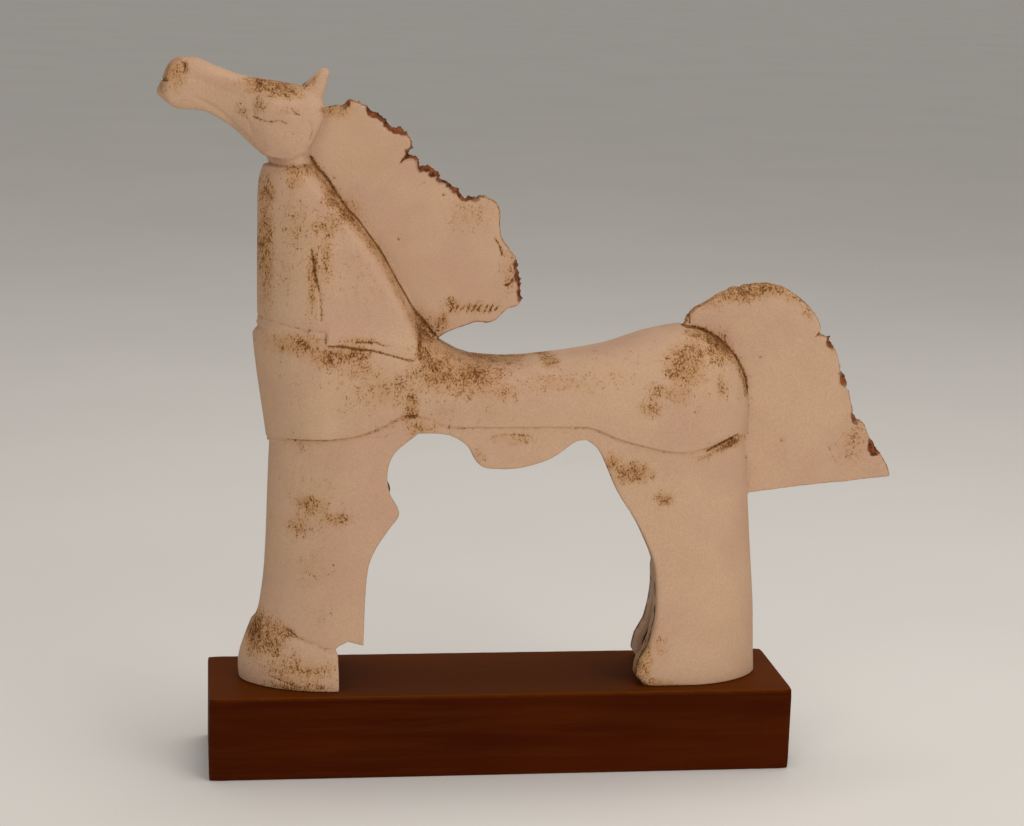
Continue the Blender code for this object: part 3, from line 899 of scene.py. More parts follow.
class NodeKit:
    """Short ways to add and join the nodes of one tree."""

    def __init__(self, tree: bpy.types.NodeTree) -> None:
        """Keep the tree."""
        self.tree = tree

    def add(self, kind: str, **settings: object) -> bpy.types.Node:
        """Add a node.

        Args:
            kind: Blender's name of the node type.
            **settings: Values of the node's own properties.

        Returns:
            The node.
        """
        node = self.tree.nodes.new(kind)
        for name, value in settings.items():
            setattr(node, name, value)
        return node

    def feed(self, socket: bpy.types.NodeSocket, value: object) -> None:
        """Join a socket to another one, or set it to a plain value."""
        if isinstance(value, bpy.types.NodeSocket):
            self.tree.links.new(value, socket)
        else:
            socket.default_value = value

    def math(self, operation: str, first: object, second: object = 0.0,
             clamp: bool = False) -> bpy.types.NodeSocket:
        """Result of one calculation on two values."""
        node = self.add("ShaderNodeMath", operation=operation, use_clamp=clamp)
        self.feed(node.inputs[0], first)
        self.feed(node.inputs[1], second)
        return node.outputs[0]

    def between(self, value: object, low: float, high: float, start: float = 0.0,
                end: float = 1.0) -> bpy.types.NodeSocket:
        """Soft rise from start to end while a value goes from low to high."""
        node = self.add("ShaderNodeMapRange", interpolation_type="SMOOTHSTEP")
        for name, number in zip(("Value", "From Min", "From Max", "To Min", "To Max"),
                                (value, low, high, start, end)):
            self.feed(node.inputs[name], number)
        return node.outputs["Result"]

    def noise(self, place: object, scale: float, detail: float = 3.0, roughness: float = 0.5,
              distortion: float = 0.0) -> bpy.types.NodeSocket:
        """Noise from 0 to 1 at a place."""
        node = self.add("ShaderNodeTexNoise", noise_dimensions="3D")
        self.feed(node.inputs["Vector"], place)
        for name, number in zip(("Scale", "Detail", "Roughness", "Distortion"),
                                (scale, detail, roughness, distortion)):
            node.inputs[name].default_value = number
        return node.outputs[0]

    def total(self, *parts: tuple[object, object]) -> bpy.types.NodeSocket:
        """Sum of values, each times its weight."""
        first, *others = [self.math("MULTIPLY", value, weight) for value, weight in parts]
        for other in others:
            first = self.math("ADD", first, other)
        return first

    def stretched(self, place: object, factors: tuple[float, float, float],
                  shift: tuple[float, float, float] = (0, 0, 0)) -> bpy.types.NodeSocket:
        """A place multiplied and moved along each axis."""
        node = self.add("ShaderNodeVectorMath", operation="MULTIPLY_ADD")
        self.feed(node.inputs[0], place)
        node.inputs[1].default_value = factors
        node.inputs[2].default_value = shift
        return node.outputs[0]

    def blend(self, share: object, first: object, second: object,
              way: str = "MIX") -> bpy.types.NodeSocket:
        """Colour between two others."""
        node = self.add("ShaderNodeMix", data_type="RGBA", blend_type=way)
        colours = [socket for socket in node.inputs if socket.type == "RGBA"]
        self.feed(node.inputs[0], share)
        for socket, value in zip(colours, (first, second)):
            self.feed(socket, (*value, 1.0) if isinstance(value, tuple) else value)
        return next(socket for socket in node.outputs if socket.type == "RGBA")

    def laid(self, tone: object, colour: object, share: object,
             strength: float) -> bpy.types.NodeSocket:
        """A tone with a colour laid over it, as strongly as a share times a strength."""
        return self.blend(self.math("MULTIPLY", share, strength), tone, colour)

    def bump(self, shader: bpy.types.Node, height: object, strength: float,
             distance: float) -> None:
        """Fine relief on a shader, with its distance in metres."""
        node = self.add("ShaderNodeBump")
        node.inputs["Strength"].default_value = strength
        node.inputs["Distance"].default_value = distance
        self.feed(node.inputs["Height"], height)
        self.feed(shader.inputs["Normal"], node.outputs[0])


def new_material(name: str) -> tuple[bpy.types.Material, NodeKit, bpy.types.Node,
                                     bpy.types.NodeSocket]:
    """Material with a kit for its nodes.

    Args:
        name: Name of the material.

    Returns:
        The material, its kit, its shader and the place on the object.
    """
    material = bpy.data.materials.new(name)
    material.use_nodes = True
    kit = NodeKit(material.node_tree)
    place = kit.add("ShaderNodeTexCoord").outputs["Object"]
    return material, kit, material.node_tree.nodes["Principled BSDF"], place


@dataclass(frozen=True)
class SpeckPattern:
    """Where the slip has pitted and the brown stain shows, alike in the mesh and the material."""

    fine_scale: float = 840.0
    clump_scale: float = 200.0
    patch_scale: float = 46.0
    fine_weight: float = 0.72
    clump_weight: float = 0.38
    patch_weight: float = 0.22
    flatten: tuple[float, float, float] = (1, 1, 0.72)
    threshold: float = 0.855
    gain: float = 0.205

    def field(self, kit: NodeKit, place: object, stain: object) -> bpy.types.NodeSocket:
        """How strongly the stain shows at a place.

        Args:
            kit: The tree's node kit.
            place: Socket with the place.
            stain: Socket with how dense the specks stand there.

        Returns:
            Socket that is above 0 where there is a speck and rises to about 1 inside it.
        """
        place = kit.stretched(place, self.flatten)
        fine = kit.noise(place, self.fine_scale, 3.0, 0.6, 0.3)
        clump = kit.noise(place, self.clump_scale, 3.0, 0.6)
        patch = kit.noise(place, self.patch_scale, 3.0, 0.6)
        level = kit.total((fine, self.fine_weight), (clump, self.clump_weight),
                          (patch, self.patch_weight), (stain, self.gain))
        clean = kit.between(stain, 0.0, 0.16, 0.10, 0.0)
        return kit.math("SUBTRACT", kit.math("SUBTRACT", level, clean), self.threshold)


@dataclass(frozen=True)
class ClayFinish:
    """Pale slip over red-brown clay, pitted and rubbed with a brown stain."""

    slip: Colour = (0.52, 0.335, 0.215)
    slip_pink: Colour = (0.49, 0.30, 0.20)
    slip_tan: Colour = (0.48, 0.315, 0.185)
    tan: Colour = (0.41, 0.225, 0.090)
    halo: Colour = (0.37, 0.170, 0.055)
    speck: Colour = (0.075, 0.024, 0.006)
    speck_light: Colour = (0.21, 0.078, 0.018)
    bare: Colour = (0.235, 0.068, 0.018)
    bare_dark: Colour = (0.055, 0.014, 0.004)
    inside: Colour = (0.20, 0.10, 0.042)
    specular: float = 0.18
    relief_strength: float = 0.55
    relief_depth: float = 0.9 * MM
    pattern: SpeckPattern = SpeckPattern()

    def material(self, name: str) -> bpy.types.Material:
        """The node material.

        Args:
            name: Name of the material.

        Returns:
            The material.
        """
        material, kit, shader, place = new_material(name)
        stain, bare, dirt, inside, hollow = (
            kit.add("ShaderNodeAttribute", attribute_name=label).outputs["Fac"]
            for label in ("stain", "bare", "dirt", "inside", "hollow_place"))
        # Slip, with broad pink and tan clouds
        cloud = kit.between(kit.noise(place, 16, 4, 0.6), 0.38, 0.66)
        tone = kit.blend(cloud, self.slip, self.slip_pink)
        elsewhere = kit.stretched(place, (1, 1, 1), (3, 1, 7))
        warm = kit.between(kit.noise(elsewhere, 24, 4, 0.6), 0.5, 0.7)
        tone = kit.laid(tone, self.slip_tan, warm, 0.55)
        grain = kit.between(kit.noise(place, 900, 4, 0.7), 0.3, 0.7, 0.9, 1.07)
        tone = kit.blend(1.0, tone, grain, "MULTIPLY")
        # Stain: a tan halo first, then brown specks that get darker inside
        zone = kit.math("ADD", stain, dirt)
        zone = kit.math("ADD", zone, kit.math("MULTIPLY", hollow, 0.25))
        level = self.pattern.field(kit, place, zone)
        tone = kit.laid(tone, self.tan, kit.between(zone, 0.2, 1.0), 0.6)
        halo = kit.math("MULTIPLY", kit.between(level, -0.12, 0.02), kit.between(zone, 0.05, 0.6))
        tone = kit.laid(tone, self.halo, halo, 0.75)
        mask = kit.between(level, -0.01, 0.085)
        deep = kit.between(kit.noise(place, 330, 3, 0.6), 0.36, 0.62)
        brown = kit.blend(deep, self.speck_light, self.speck)
        tone = kit.laid(tone, brown, mask, 0.92)
        tone = kit.laid(tone, brown, kit.between(dirt, 0.45, 1.1), 0.85)
        # Bare clay on the broken edges, and the unglazed inside
        raw = kit.blend(kit.between(kit.noise(place, 210, 5, 0.65), 0.38, 0.64), self.bare,
                        self.bare_dark)
        tone = kit.blend(bare, tone, raw)
        dusk = kit.blend(kit.between(kit.noise(place, 60, 5, 0.65), 0.38, 0.62), self.inside,
                         self.speck)
        tone = kit.blend(inside, tone, dusk)
        kit.feed(shader.inputs["Base Color"], tone)
        kit.feed(shader.inputs["Roughness"], kit.between(mask, 0, 1, 0.78, 0.92))
        shader.inputs["Specular IOR Level"].default_value = self.specular
        # Relief: brushed slip, tiny grains and the pits
        brushed, grains = kit.noise(place, 150, 5, 0.6), kit.noise(place, 900, 3, 0.7)
        pits = kit.between(level, -0.03, 0.09)
        rough = kit.noise(place, 420, 5, 0.75)
        relief = kit.total((brushed, 0.5), (grains, 0.16), (pits, -0.7),
                           (rough, kit.math("MULTIPLY", bare, 1.8)))
        kit.bump(shader, relief, self.relief_strength, self.relief_depth)
        return material


@dataclass(frozen=True)
class WoodFinish:
    """Dark close-grained hardwood, rubbed to a dull shine."""

    dark: Colour = (0.034, 0.0052, 0.0012)
    middle: Colour = (0.056, 0.0088, 0.0017)
    light: Colour = (0.090, 0.0180, 0.0030)
    # Painted light: a lighter brown laid on the top face, so the top reads as lit from above
    painted_top_light: Colour = (0.150, 0.036, 0.003)
    specular: float = 0.015
    shine: Colour = (1.0, 0.42, 0.14)
    worn: Colour = (0.14, 0.045, 0.012)
    relief_strength: float = 0.22
    relief_depth: float = 0.15 * MM

    def material(self, name: str) -> bpy.types.Material:
        """The node material.

        Args:
            name: Name of the material.

        Returns:
            The material.
        """
        material, kit, shader, place = new_material(name)
        wander = kit.noise(kit.stretched(place, (3.2, 14, 14)), 1.0, 3, 0.5, 0.4)
        band = kit.noise(kit.stretched(place, (5, 85, 85), (2, 0, 0)), 1.0, 5, 0.6, 1.2)
        fibre = kit.noise(kit.stretched(place, (26, 900, 900)), 1.0, 3, 0.6)
        pore = kit.noise(kit.stretched(place, (60, 1500, 1500)), 1.0, 2, 0.5)
        tone = kit.blend(kit.between(wander, 0.3, 0.7), self.dark, self.middle)
        tone = kit.laid(tone, self.light, kit.between(band, 0.42, 0.72), 0.28)
        tone = kit.laid(tone, self.light, kit.between(fibre, 0.5, 0.75), 0.22)
        tone = kit.laid(tone, self.dark, kit.between(pore, 0.62, 0.7), 0.5)
        # Painted light: the top face is laid over with a lighter brown, standing in for the light
        # that falls on it from above
        painted_top_light = kit.add("ShaderNodeAttribute", attribute_name="top_face").outputs["Fac"]
        tone = kit.laid(tone, self.painted_top_light, painted_top_light, 0.6)
        edge = kit.add("ShaderNodeAttribute", attribute_name="edge").outputs["Fac"]
        rub = kit.math("MULTIPLY", edge, kit.between(kit.noise(place, 130, 4, 0.7), 0.46, 0.62))
        tone = kit.laid(tone, self.worn, rub, 0.1)
        kit.feed(shader.inputs["Base Color"], tone)
        kit.feed(shader.inputs["Roughness"], kit.between(fibre, 0.25, 0.75, 0.42, 0.56))
        shader.inputs["Specular IOR Level"].default_value = self.specular
        shader.inputs["Specular Tint"].default_value = (*self.shine, 1)
        relief = kit.math("SUBTRACT", fibre, kit.between(pore, 0.6, 0.72))
        kit.bump(shader, relief, self.relief_strength, self.relief_depth)
        return material


# The horse


@dataclass
class ClayHorse:
    """The whole horse: one hollow fired piece of clay slabs."""

    figure: Figure = Figure()
    legs: LegSlab = LegSlab()
    body: BodySlab = BodySlab()
    neck: NeckSlab = NeckSlab()
    head: Head = Head()
    finish: ClayFinish = ClayFinish()
    mane: EdgedSlab = field(default_factory=lambda: MANE)
    tail: EdgedSlab = field(default_factory=lambda: TAIL)
    marks: Marks = field(default_factory=lambda: MARKS)
    voxel: float = 0.00095
    smoothing: int = 2
    most_faces: int = 196_000

    def build(self) -> bpy.types.Object:
        """Join and hollow the slabs, then press, pit and thin the mesh.

        Returns:
            The finished piece.
        """
        figure = self.figure
        hollows = [self.legs.hollow(figure), self.body.hollow(figure), self.neck.hollow(figure)]
        inner = [self.tree_of(hollow) for hollow in hollows]
        piece = self.body.outer(figure)
        shape(piece, "UNION", [self.legs.outer(figure), self.neck.outer(figure),
                               self.head.outer(figure), self.head.ear(figure, Side.NEAR),
                               self.head.ear(figure, Side.FAR), self.mane.outer(figure),
                               self.tail.outer(figure)])
        shape(piece, "DIFFERENCE", hollows + [self.legs.opening(figure, Side.NEAR),
                                              self.legs.opening(figure, Side.FAR)])
        shape(piece, "UNION", [self.legs.curl(figure, Side.NEAR), self.legs.curl(figure, Side.FAR)])
        shape(piece, "DIFFERENCE", [self.ground()])
        LOG.info("clay slabs joined: %d faces", len(piece.data.polygons))
        remesh = piece.modifiers.new("even_mesh", "REMESH")
        remesh.mode = "VOXEL"
        remesh.voxel_size = self.voxel
        smooth = piece.modifiers.new("rounded_arrises", "SMOOTH")
        smooth.factor = 0.5
        smooth.iterations = self.smoothing
        settle(piece)
        LOG.info("even mesh: %d corners", len(piece.data.vertices))
        self.marks.press(piece.data)
        self.paint(piece.data, inner)
        self.pit(piece)
        self.thin(piece)
        self.paint(piece.data, inner)
        self.keep_above_ground(piece.data)
        for face in piece.data.polygons:
            face.use_smooth = True
        piece.name = "clay_horse"
        piece.data.name = "clay_horse"
        LOG.info("clay horse: %d triangles", len(piece.data.polygons))
        return piece

    def tree_of(self, piece: bpy.types.Object) -> BVHTree:
        """Search tree of a piece's surface."""
        places = corner_places(piece.data)
        faces = [tuple(face.vertices) for face in piece.data.polygons]
        return BVHTree.FromPolygons([Vector(place) for place in places], faces)

    def ground(self) -> bpy.types.Object:
        """Cutter that makes the feet flat to stand on."""
        figure = self.figure
        reach, deep = figure.length, 0.03
        corners = np.array([(x, y, z) for x in (-reach, reach) for y in (-reach, reach)
                            for z in (figure.foot - deep, figure.foot)])
        faces = [(0, 1, 3, 2), (4, 6, 7, 5), (0, 4, 5, 1), (2, 3, 7, 6), (0, 2, 6, 4), (1, 5, 7, 3)]
        return new_piece("ground", corners, faces)

    def keep_above_ground(self, data: bpy.types.Mesh) -> None:
        """Lift what the pits and the smoothing put below the soles."""
        places = corner_places(data)
        low = places[:, 2] < self.figure.foot + 0.5 * MM
        places[low, 2] = np.maximum(places[low, 2], self.figure.foot)
        move_corners(data, places)

    def paint(self, data: bpy.types.Mesh, inner: Sequence[BVHTree]) -> None:
        """Write where the stain, the bare clay, the dirt and the inside are, for the material.

        Args:
            data: The mesh.
            inner: Search trees of the hollows.
        """
        places, ways = corner_places(data), corner_normals(data)
        rim = np.maximum(self.mane.rim_share(places), self.tail.rim_share(places))
        layers = {
            "stain": np.maximum(self.marks.stain(places), rim * 0.95),
            "bare": np.maximum(self.mane.bare_share(places), self.tail.bare_share(places)),
            "dirt": self.marks.dirt(places),
            "inside": self.inside_share(places, inner),
            "hollow_place": self.hollow_share(data, places, ways),
        }
        for name, values in layers.items():
            write_layer(data, name, np.clip(values, 0, 1.5))

    def inside_share(self, places: Array, inner: Sequence[BVHTree]) -> Array:
        """1 on the walls of the hollows and 0 on the outside."""
        share = np.zeros(len(places))
        close = np.abs(places[:, 1]) < self.figure.leg_half - self.figure.wall * 0.45
        for index in np.nonzero(close)[0]:
            place = Vector(places[index])
            for tree in inner:
                if tree.find_nearest(place, 1.6 * MM)[0] is not None:
                    share[index] = 1.0
                    break
        return share

    def hollow_share(self, data: bpy.types.Mesh, places: Array, ways: Array) -> Array:
        """How much a place lies in a groove or an inner corner, where dirt stays."""
        values = np.zeros(len(places))
        for axis in range(3):
            values += (neighbour_mean(data, places[:, axis]) - places[:, axis]) * ways[:, axis]
        for _ in range(3):
            values = 0.5 * values + 0.5 * neighbour_mean(data, values)
        return soft_step(values, 0.02 * MM, 0.16 * MM)

    def pit(self, piece: bpy.types.Object) -> None:
        """Give the surface its handling and its pits with a node tree.

        Args:
            piece: The horse, with its painted layers.
        """
        tree = PitTree(self.finish.pattern).tree()
        modifier = piece.modifiers.new("handled_slip", "NODES")
        modifier.node_group = tree
        sizes = {"Wave Height": 0.85 * MM, "Ripple Height": 0.16 * MM, "Pit Depth": 0.26 * MM,
                 "Break Height": 1.7 * MM}
        for socket in tree.interface.items_tree:
            if socket.in_out == "INPUT" and socket.name in sizes:
                modifier[socket.identifier] = sizes[socket.name]
        settle(piece)

    def thin(self, piece: bpy.types.Object) -> None:
        """Take faces away where the clay is flat."""
        triangles = sum(len(face.vertices) - 2 for face in piece.data.polygons)
        modifier = piece.modifiers.new("thinned", "DECIMATE")
        modifier.ratio = min(1.0, self.most_faces / triangles)
        settle(piece)

    def dress(self, piece: bpy.types.Object) -> None:
        """Give the horse its finish and tie it to the CAD part."""
        piece.data.materials.clear()
        piece.data.materials.append(self.finish.material("pale_slip_over_clay"))
        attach(piece, "root")
        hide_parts("horse")


@dataclass(frozen=True)
class PitTree:
    """Node tree that waves, ripples, pits and breaks a clay surface along its own directions."""

    pattern: SpeckPattern

    def tree(self) -> bpy.types.NodeTree:
        """The tree, with a named input for each size.

        Returns:
            The node tree.
        """
        tree = bpy.data.node_groups.new("handled_slip", "GeometryNodeTree")
        tree.interface.new_socket("Geometry", in_out="INPUT", socket_type="NodeSocketGeometry")
        tree.interface.new_socket("Geometry", in_out="OUTPUT", socket_type="NodeSocketGeometry")
        for name in ("Wave Height", "Ripple Height", "Pit Depth", "Break Height"):
            socket = tree.interface.new_socket(name, in_out="INPUT", socket_type="NodeSocketFloat")
            socket.subtype = "DISTANCE"
        kit = NodeKit(tree)
        start, end = kit.add("NodeGroupInput"), kit.add("NodeGroupOutput")
        place = kit.add("GeometryNodeInputPosition").outputs[0]
        layers = {}
        for name in ("stain", "bare", "dirt", "hollow_place"):
            node = kit.add("GeometryNodeInputNamedAttribute", data_type="FLOAT")
            node.inputs["Name"].default_value = name
            layers[name] = node.outputs["Attribute"]
        zone = kit.math("ADD", layers["stain"], layers["dirt"])
        zone = kit.math("ADD", zone, kit.math("MULTIPLY", layers["hollow_place"], 0.25))
        pit = kit.between(self.pattern.field(kit, place, zone), -0.01, 0.09)
        slip = kit.math("SUBTRACT", 1.0, layers["bare"])
        wave = kit.math("SUBTRACT", kit.noise(place, 15, 2.0, 0.45), 0.5)
        ripple = kit.math("SUBTRACT", kit.noise(place, 90, 3.0, 0.55), 0.5)
        rough = kit.math("SUBTRACT", kit.noise(place, 260, 4.0, 0.7), 0.5)
        move = kit.math("MULTIPLY", wave, start.outputs["Wave Height"])
        move = kit.math("ADD", move, kit.math("MULTIPLY", ripple, start.outputs["Ripple Height"]))
        sunk = kit.math("MULTIPLY", kit.math("MULTIPLY", pit, slip), start.outputs["Pit Depth"])
        move = kit.math("SUBTRACT", move, sunk)
        broken = kit.math("MULTIPLY", kit.math("MULTIPLY", rough, layers["bare"]),
                          start.outputs["Break Height"])
        move = kit.math("ADD", move, broken)
        way = kit.add("ShaderNodeVectorMath", operation="SCALE")
        kit.feed(way.inputs[0], kit.add("GeometryNodeInputNormal").outputs[0])
        kit.feed(way.inputs["Scale"], move)
        moved = kit.add("GeometryNodeSetPosition")
        kit.feed(moved.inputs["Geometry"], start.outputs["Geometry"])
        kit.feed(moved.inputs["Offset"], way.outputs[0])
        real = kit.add("GeometryNodeRealizeInstances")
        kit.feed(real.inputs["Geometry"], moved.outputs["Geometry"])
        dressed = kit.add("GeometryNodeSetMaterial")
        kit.feed(dressed.inputs["Geometry"], real.outputs["Geometry"])
        kit.feed(end.inputs["Geometry"], dressed.outputs["Geometry"])
        return tree


@dataclass
class WoodBlock:
    """The plain wooden block that the horse stands on."""

    length: float = 0.436
    width: float = 0.100
    height: float = 0.0635
    bevel: float = 0.0008
    finish: WoodFinish = WoodFinish()
    seed: int = 11

    def build(self) -> bpy.types.Object:
        """The block with its edges and corners a little worn.

        Returns:
            The finished piece.
        """
        mesh = bmesh.new()
        bmesh.ops.create_cube(mesh, size=1.0)
        bmesh.ops.scale(mesh, vec=(self.length, self.width, self.height), verts=mesh.verts[:])
        bmesh.ops.translate(mesh, vec=(0, 0, self.height / 2), verts=mesh.verts[:])
        for axis, cuts in ((0, 110), (1, 26), (2, 17)):
            edges = [edge for edge in mesh.edges
                     if abs((edge.verts[0].co - edge.verts[1].co)[axis]) > 0.5 * MM
                     and abs((edge.verts[0].co - edge.verts[1].co).normalized()[axis]) > 0.99]
            bmesh.ops.subdivide_edges(mesh, edges=edges, cuts=cuts, use_grid_fill=True)
        sharp = [edge for edge in mesh.edges if edge.calc_face_angle(0.0) > 1.0]
        bmesh.ops.bevel(mesh, geom=sharp, offset=self.bevel, segments=3, profile=0.5,
                        affect="EDGES", clamp_overlap=True)
        data = bpy.data.meshes.new("wood_block")
        mesh.to_mesh(data)
        mesh.free()
        piece = bpy.data.objects.new("wood_block", data)
        bpy.context.scene.collection.objects.link(piece)
        self.wear(data)
        for face in data.polygons:
            face.use_smooth = True
        modifier = piece.modifiers.new("crisp_faces", "WEIGHTED_NORMAL")
        modifier.keep_sharp = False
        settle(piece)
        LOG.info("wood block: %d faces", len(piece.data.polygons))
        return piece

    def wear(self, data: bpy.types.Mesh) -> None:
        """Round the corners off unevenly and mark the edges for the material."""
        places = corner_places(data)
        half = np.array([self.length, self.width, self.height]) / 2
        middle = np.array([0, 0, self.height / 2])
        depth = np.sort(half - np.abs(places - middle), axis=1)
        edge = 1 - soft_step(depth[:, 1], 0.3 * MM, 2.4 * MM)
        corner = 1 - soft_step(depth[:, 2], 0.0, 7 * MM)
        wave = np.sin(places[:, 0] * 310) * np.sin(places[:, 0] * 127 + 2) * 0.5 + 0.5
        pull = edge * (0.10 + 0.16 * wave) + edge * corner * 0.6
        out = (places - middle) / half
        places -= np.sign(out) * (np.abs(out) > 0.9) * (pull * 0.55 * MM)[:, None]
        move_corners(data, places)
        # Mask of the top face, where the material paints light onto the wood
        top = soft_step(places[:, 2], self.height - 1.2 * MM, self.height - 0.6 * MM)
        write_layer(data, "edge", edge)
        write_layer(data, "top_face", top)

    def dress(self, piece: bpy.types.Object) -> None:
        """Give the block its finish and tie it to the CAD part."""
        piece.data.materials.clear()
        piece.data.materials.append(self.finish.material("rubbed_dark_wood"))
        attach(piece, "root")
        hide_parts("block")


@dataclass(frozen=True)
class Lamp:
    """One soft square light: where it is, its size, power and colour."""

    name: str
    place: tuple[float, float, float]
    size: float
    power: float
    colour: Colour


@dataclass(frozen=True)
class Studio:
    """Pale floor, soft lights and the camera."""

    floor: Colour = (0.82, 0.785, 0.74)
    air: Colour = (1.0, 0.975, 0.94)
    air_strength: float = 0.36
    aim: tuple[float, float, float] = (0.03, 0.0, 0.27)
    lamps: tuple[Lamp, ...] = (
        Lamp("front_left", (-0.9, -2.3, 0.7), 1.4, 14, (1.0, 0.97, 0.93)),
        Lamp("front_right", (1.5, -2.0, 0.8), 1.4, 22, (1.0, 0.97, 0.93)),
        Lamp("above", (0.3, 0.1, 2.4), 1.4, 22, (1.0, 0.98, 0.95)),
    )
    camera_place: tuple[float, float, float] = (-0.23535, -1.65579, 0.62136)
    camera_right: tuple[float, float, float] = (0.990041, -0.137711, 0.029240)
    camera_up: tuple[float, float, float] = (0.000342, 0.210048, 0.977691)
    lens: float = 80.86

    def build(self) -> None:
        """Make the floor, the lights and the camera."""
        self.lay_floor()
        for lamp in self.lamps:
            self.hang(lamp)
        world = bpy.data.worlds.new("studio_air")
        world.use_nodes = True
        air = world.node_tree.nodes["Background"]
        air.inputs["Color"].default_value = (*self.air, 1)
        air.inputs["Strength"].default_value = self.air_strength
        bpy.context.scene.world = world
        bpy.context.scene.view_settings.view_transform = "Standard"
        self.set_camera()

    def lay_floor(self) -> None:
        """A wide flat floor, finely matte."""
        turns = np.linspace(0, 2 * math.pi, 96, endpoint=False)
        rim = np.column_stack([np.cos(turns), np.sin(turns), np.zeros(96)]) * 40
        floor = new_piece("studio_floor", rim, [tuple(range(96))])
        material, kit, shader, place = new_material("pale_floor")
        shade = kit.between(kit.noise(place, 2.2, 3, 0.5), 0.3, 0.7)
        darker = tuple(value * 0.97 for value in self.floor)
        kit.feed(shader.inputs["Base Color"], kit.blend(shade, self.floor, darker))
        shader.inputs["Roughness"].default_value = 0.72
        shader.inputs["Specular IOR Level"].default_value = 0.25
        floor.data.materials.append(material)
        if floor.data.polygons[0].normal.z < 0:
            floor.data.flip_normals()

    def hang(self, lamp: Lamp) -> None:
        """Make one light, turned to the horse."""
        data = bpy.data.lights.new(lamp.name, "AREA")
        data.size = lamp.size
        data.energy = lamp.power
        data.color = lamp.colour
        light = bpy.data.objects.new(lamp.name, data)
        light.location = lamp.place
        way = Vector(self.aim) - Vector(lamp.place)
        light.rotation_euler = way.to_track_quat("-Z", "Y").to_euler()
        bpy.context.scene.collection.objects.link(light)

    def set_camera(self) -> None:
        """The camera at the photograph's viewing angle."""
        data = bpy.data.cameras.new("camera")
        data.lens = self.lens
        data.sensor_width = 36
        camera = bpy.data.objects.new("camera", data)
        right, up = Vector(self.camera_right), Vector(self.camera_up)
        turn = Matrix((right, up, right.cross(up))).transposed().to_4x4()
        camera.matrix_world = Matrix.Translation(Vector(self.camera_place)) @ turn
        bpy.context.scene.collection.objects.link(camera)
        bpy.context.scene.camera = camera


MANE = EdgedSlab(
    name="mane_slab", thickness=0.009, seed=3,
    edge=(
        (-136.5, 489.3, 1.4), (-134.0, 489.5, 1.4), (-131.9, 490.5, 1.4), (-129.8, 490.9, 1.4),
        (-127.6, 491.4, 1.8), (-124.8, 491.1, 1.8), (-122.6, 492.1, 2.2), (-120.9, 493.9, 2.9),
        (-119.8, 495.1, 2.2), (-118.4, 495.8, 1.1), (-116.2, 495.0, 0.7), (-114.1, 494.0, 1.1),
        (-112.6, 493.7, 1.1), (-111.2, 494.4, 2.2), (-109.7, 492.7, 1.8), (-108.3, 491.8, 1.4),
        (-106.1, 491.7, 1.8), (-104.7, 489.9, 3.6), (-103.6, 488.1, 5.0), (-101.8, 487.1, 5.4),
        (-98.9, 486.4, 5.4), (-96.7, 485.1, 5.0), (-94.5, 482.9, 4.7), (-92.3, 482.3, 5.8),
        (-90.8, 479.4, 5.0), (-89.0, 477.7, 5.0), (-87.2, 475.9, 5.0), (-85.0, 475.4, 5.4),
        (-83.6, 476.6, 6.5), (-81.4, 476.4, 6.5), (-79.6, 474.6, 5.0), (-78.4, 472.5, 2.9),
        (-76.3, 471.1, 1.4), (-74.4, 469.0, 1.4), (-73.3, 466.1, 1.4), (-72.5, 463.2, 2.2),
        (-73.1, 460.7, 2.2), (-74.9, 458.9, 2.2), (-76.3, 457.8, 2.9), (-75.6, 456.7, 3.6),
        (-73.8, 457.1, 4.3), (-71.6, 456.4, 4.3), (-69.4, 455.4, 3.6), (-67.9, 452.9, 2.2),
        (-67.9, 450.3, 2.2), (-66.4, 448.9, 3.6), (-63.5, 448.6, 5.8), (-59.8, 448.8, 7.9),
        (-57.6, 447.2, 8.6), (-55.4, 446.2, 8.6), (-53.6, 444.4, 7.2), (-52.4, 442.6, 5.8),
        (-52.0, 439.7, 2.9), (-49.4, 438.3, 2.9), (-46.5, 436.9, 3.2), (-43.5, 435.1, 4.3),
        (-40.5, 433.0, 5.0), (-37.9, 431.5, 5.8), (-36.8, 429.0, 5.0), (-34.9, 426.9, 3.6),
        (-33.0, 426.1, 2.9), (-31.6, 427.6, 2.9), (-29.4, 426.6, 2.5), (-27.2, 426.2, 2.2),
        (-24.3, 427.4, 2.2), (-21.4, 427.8, 1.3), (-18.4, 427.4, 1.1), (-16.2, 426.0, 0.7),
        (-13.2, 424.6, 0.7), (-10.6, 422.8, 0.7), (-8.7, 419.9, 0.7), (-7.5, 416.2, 0.7),
        (-7.1, 411.8, 0.9), (-7.4, 408.2, 1.4), (-6.9, 403.8, 1.1), (-6.4, 399.4, 1.4),
        (-5.0, 395.7, 1.8), (-3.1, 392.8, 1.1), (-1.2, 390.6, 0.7), (0.4, 388.0, 0.7),
        (2.7, 385.5, 0.7), (5.0, 382.5, 1.4), (6.2, 379.9, 2.9), (6.6, 376.6, 2.9),
        (6.4, 373.7, 2.5), (7.2, 370.7, 3.2), (8.4, 367.7, 4.3), (9.1, 364.0, 2.9),
        (9.4, 359.6, 2.2), (9.5, 355.1, 2.9), (9.3, 350.6, 2.2), (8.6, 347.3, 1.1),
        (6.1, 345.8, 0.7), (3.1, 345.0, 0.7), (0.2, 344.2, 0.7), (-2.0, 342.4, 0.7),
        (-4.2, 340.1, 0.7), (-6.3, 337.9, 0.7), (-8.9, 335.6, 0.7), (-12.2, 334.1, 0.7),
        (-15.9, 333.5, 0.7), (-20.3, 334.1, 0.7), (-24.8, 333.6, 0.7), (-29.2, 332.1, 0.7),
        (-33.6, 330.6, 0.7), (-38.0, 329.1, 0.7), (-42.4, 327.2, 0.7), (-46.8, 325.0, 0.7),
        (-49.7, 323.1, 0.7), (-51.9, 321.6, 0.7),
    ),
    root=((35.5, 56.6), (31, 54), (26, 60), (16, 74), (10, 82), (8, 88)))

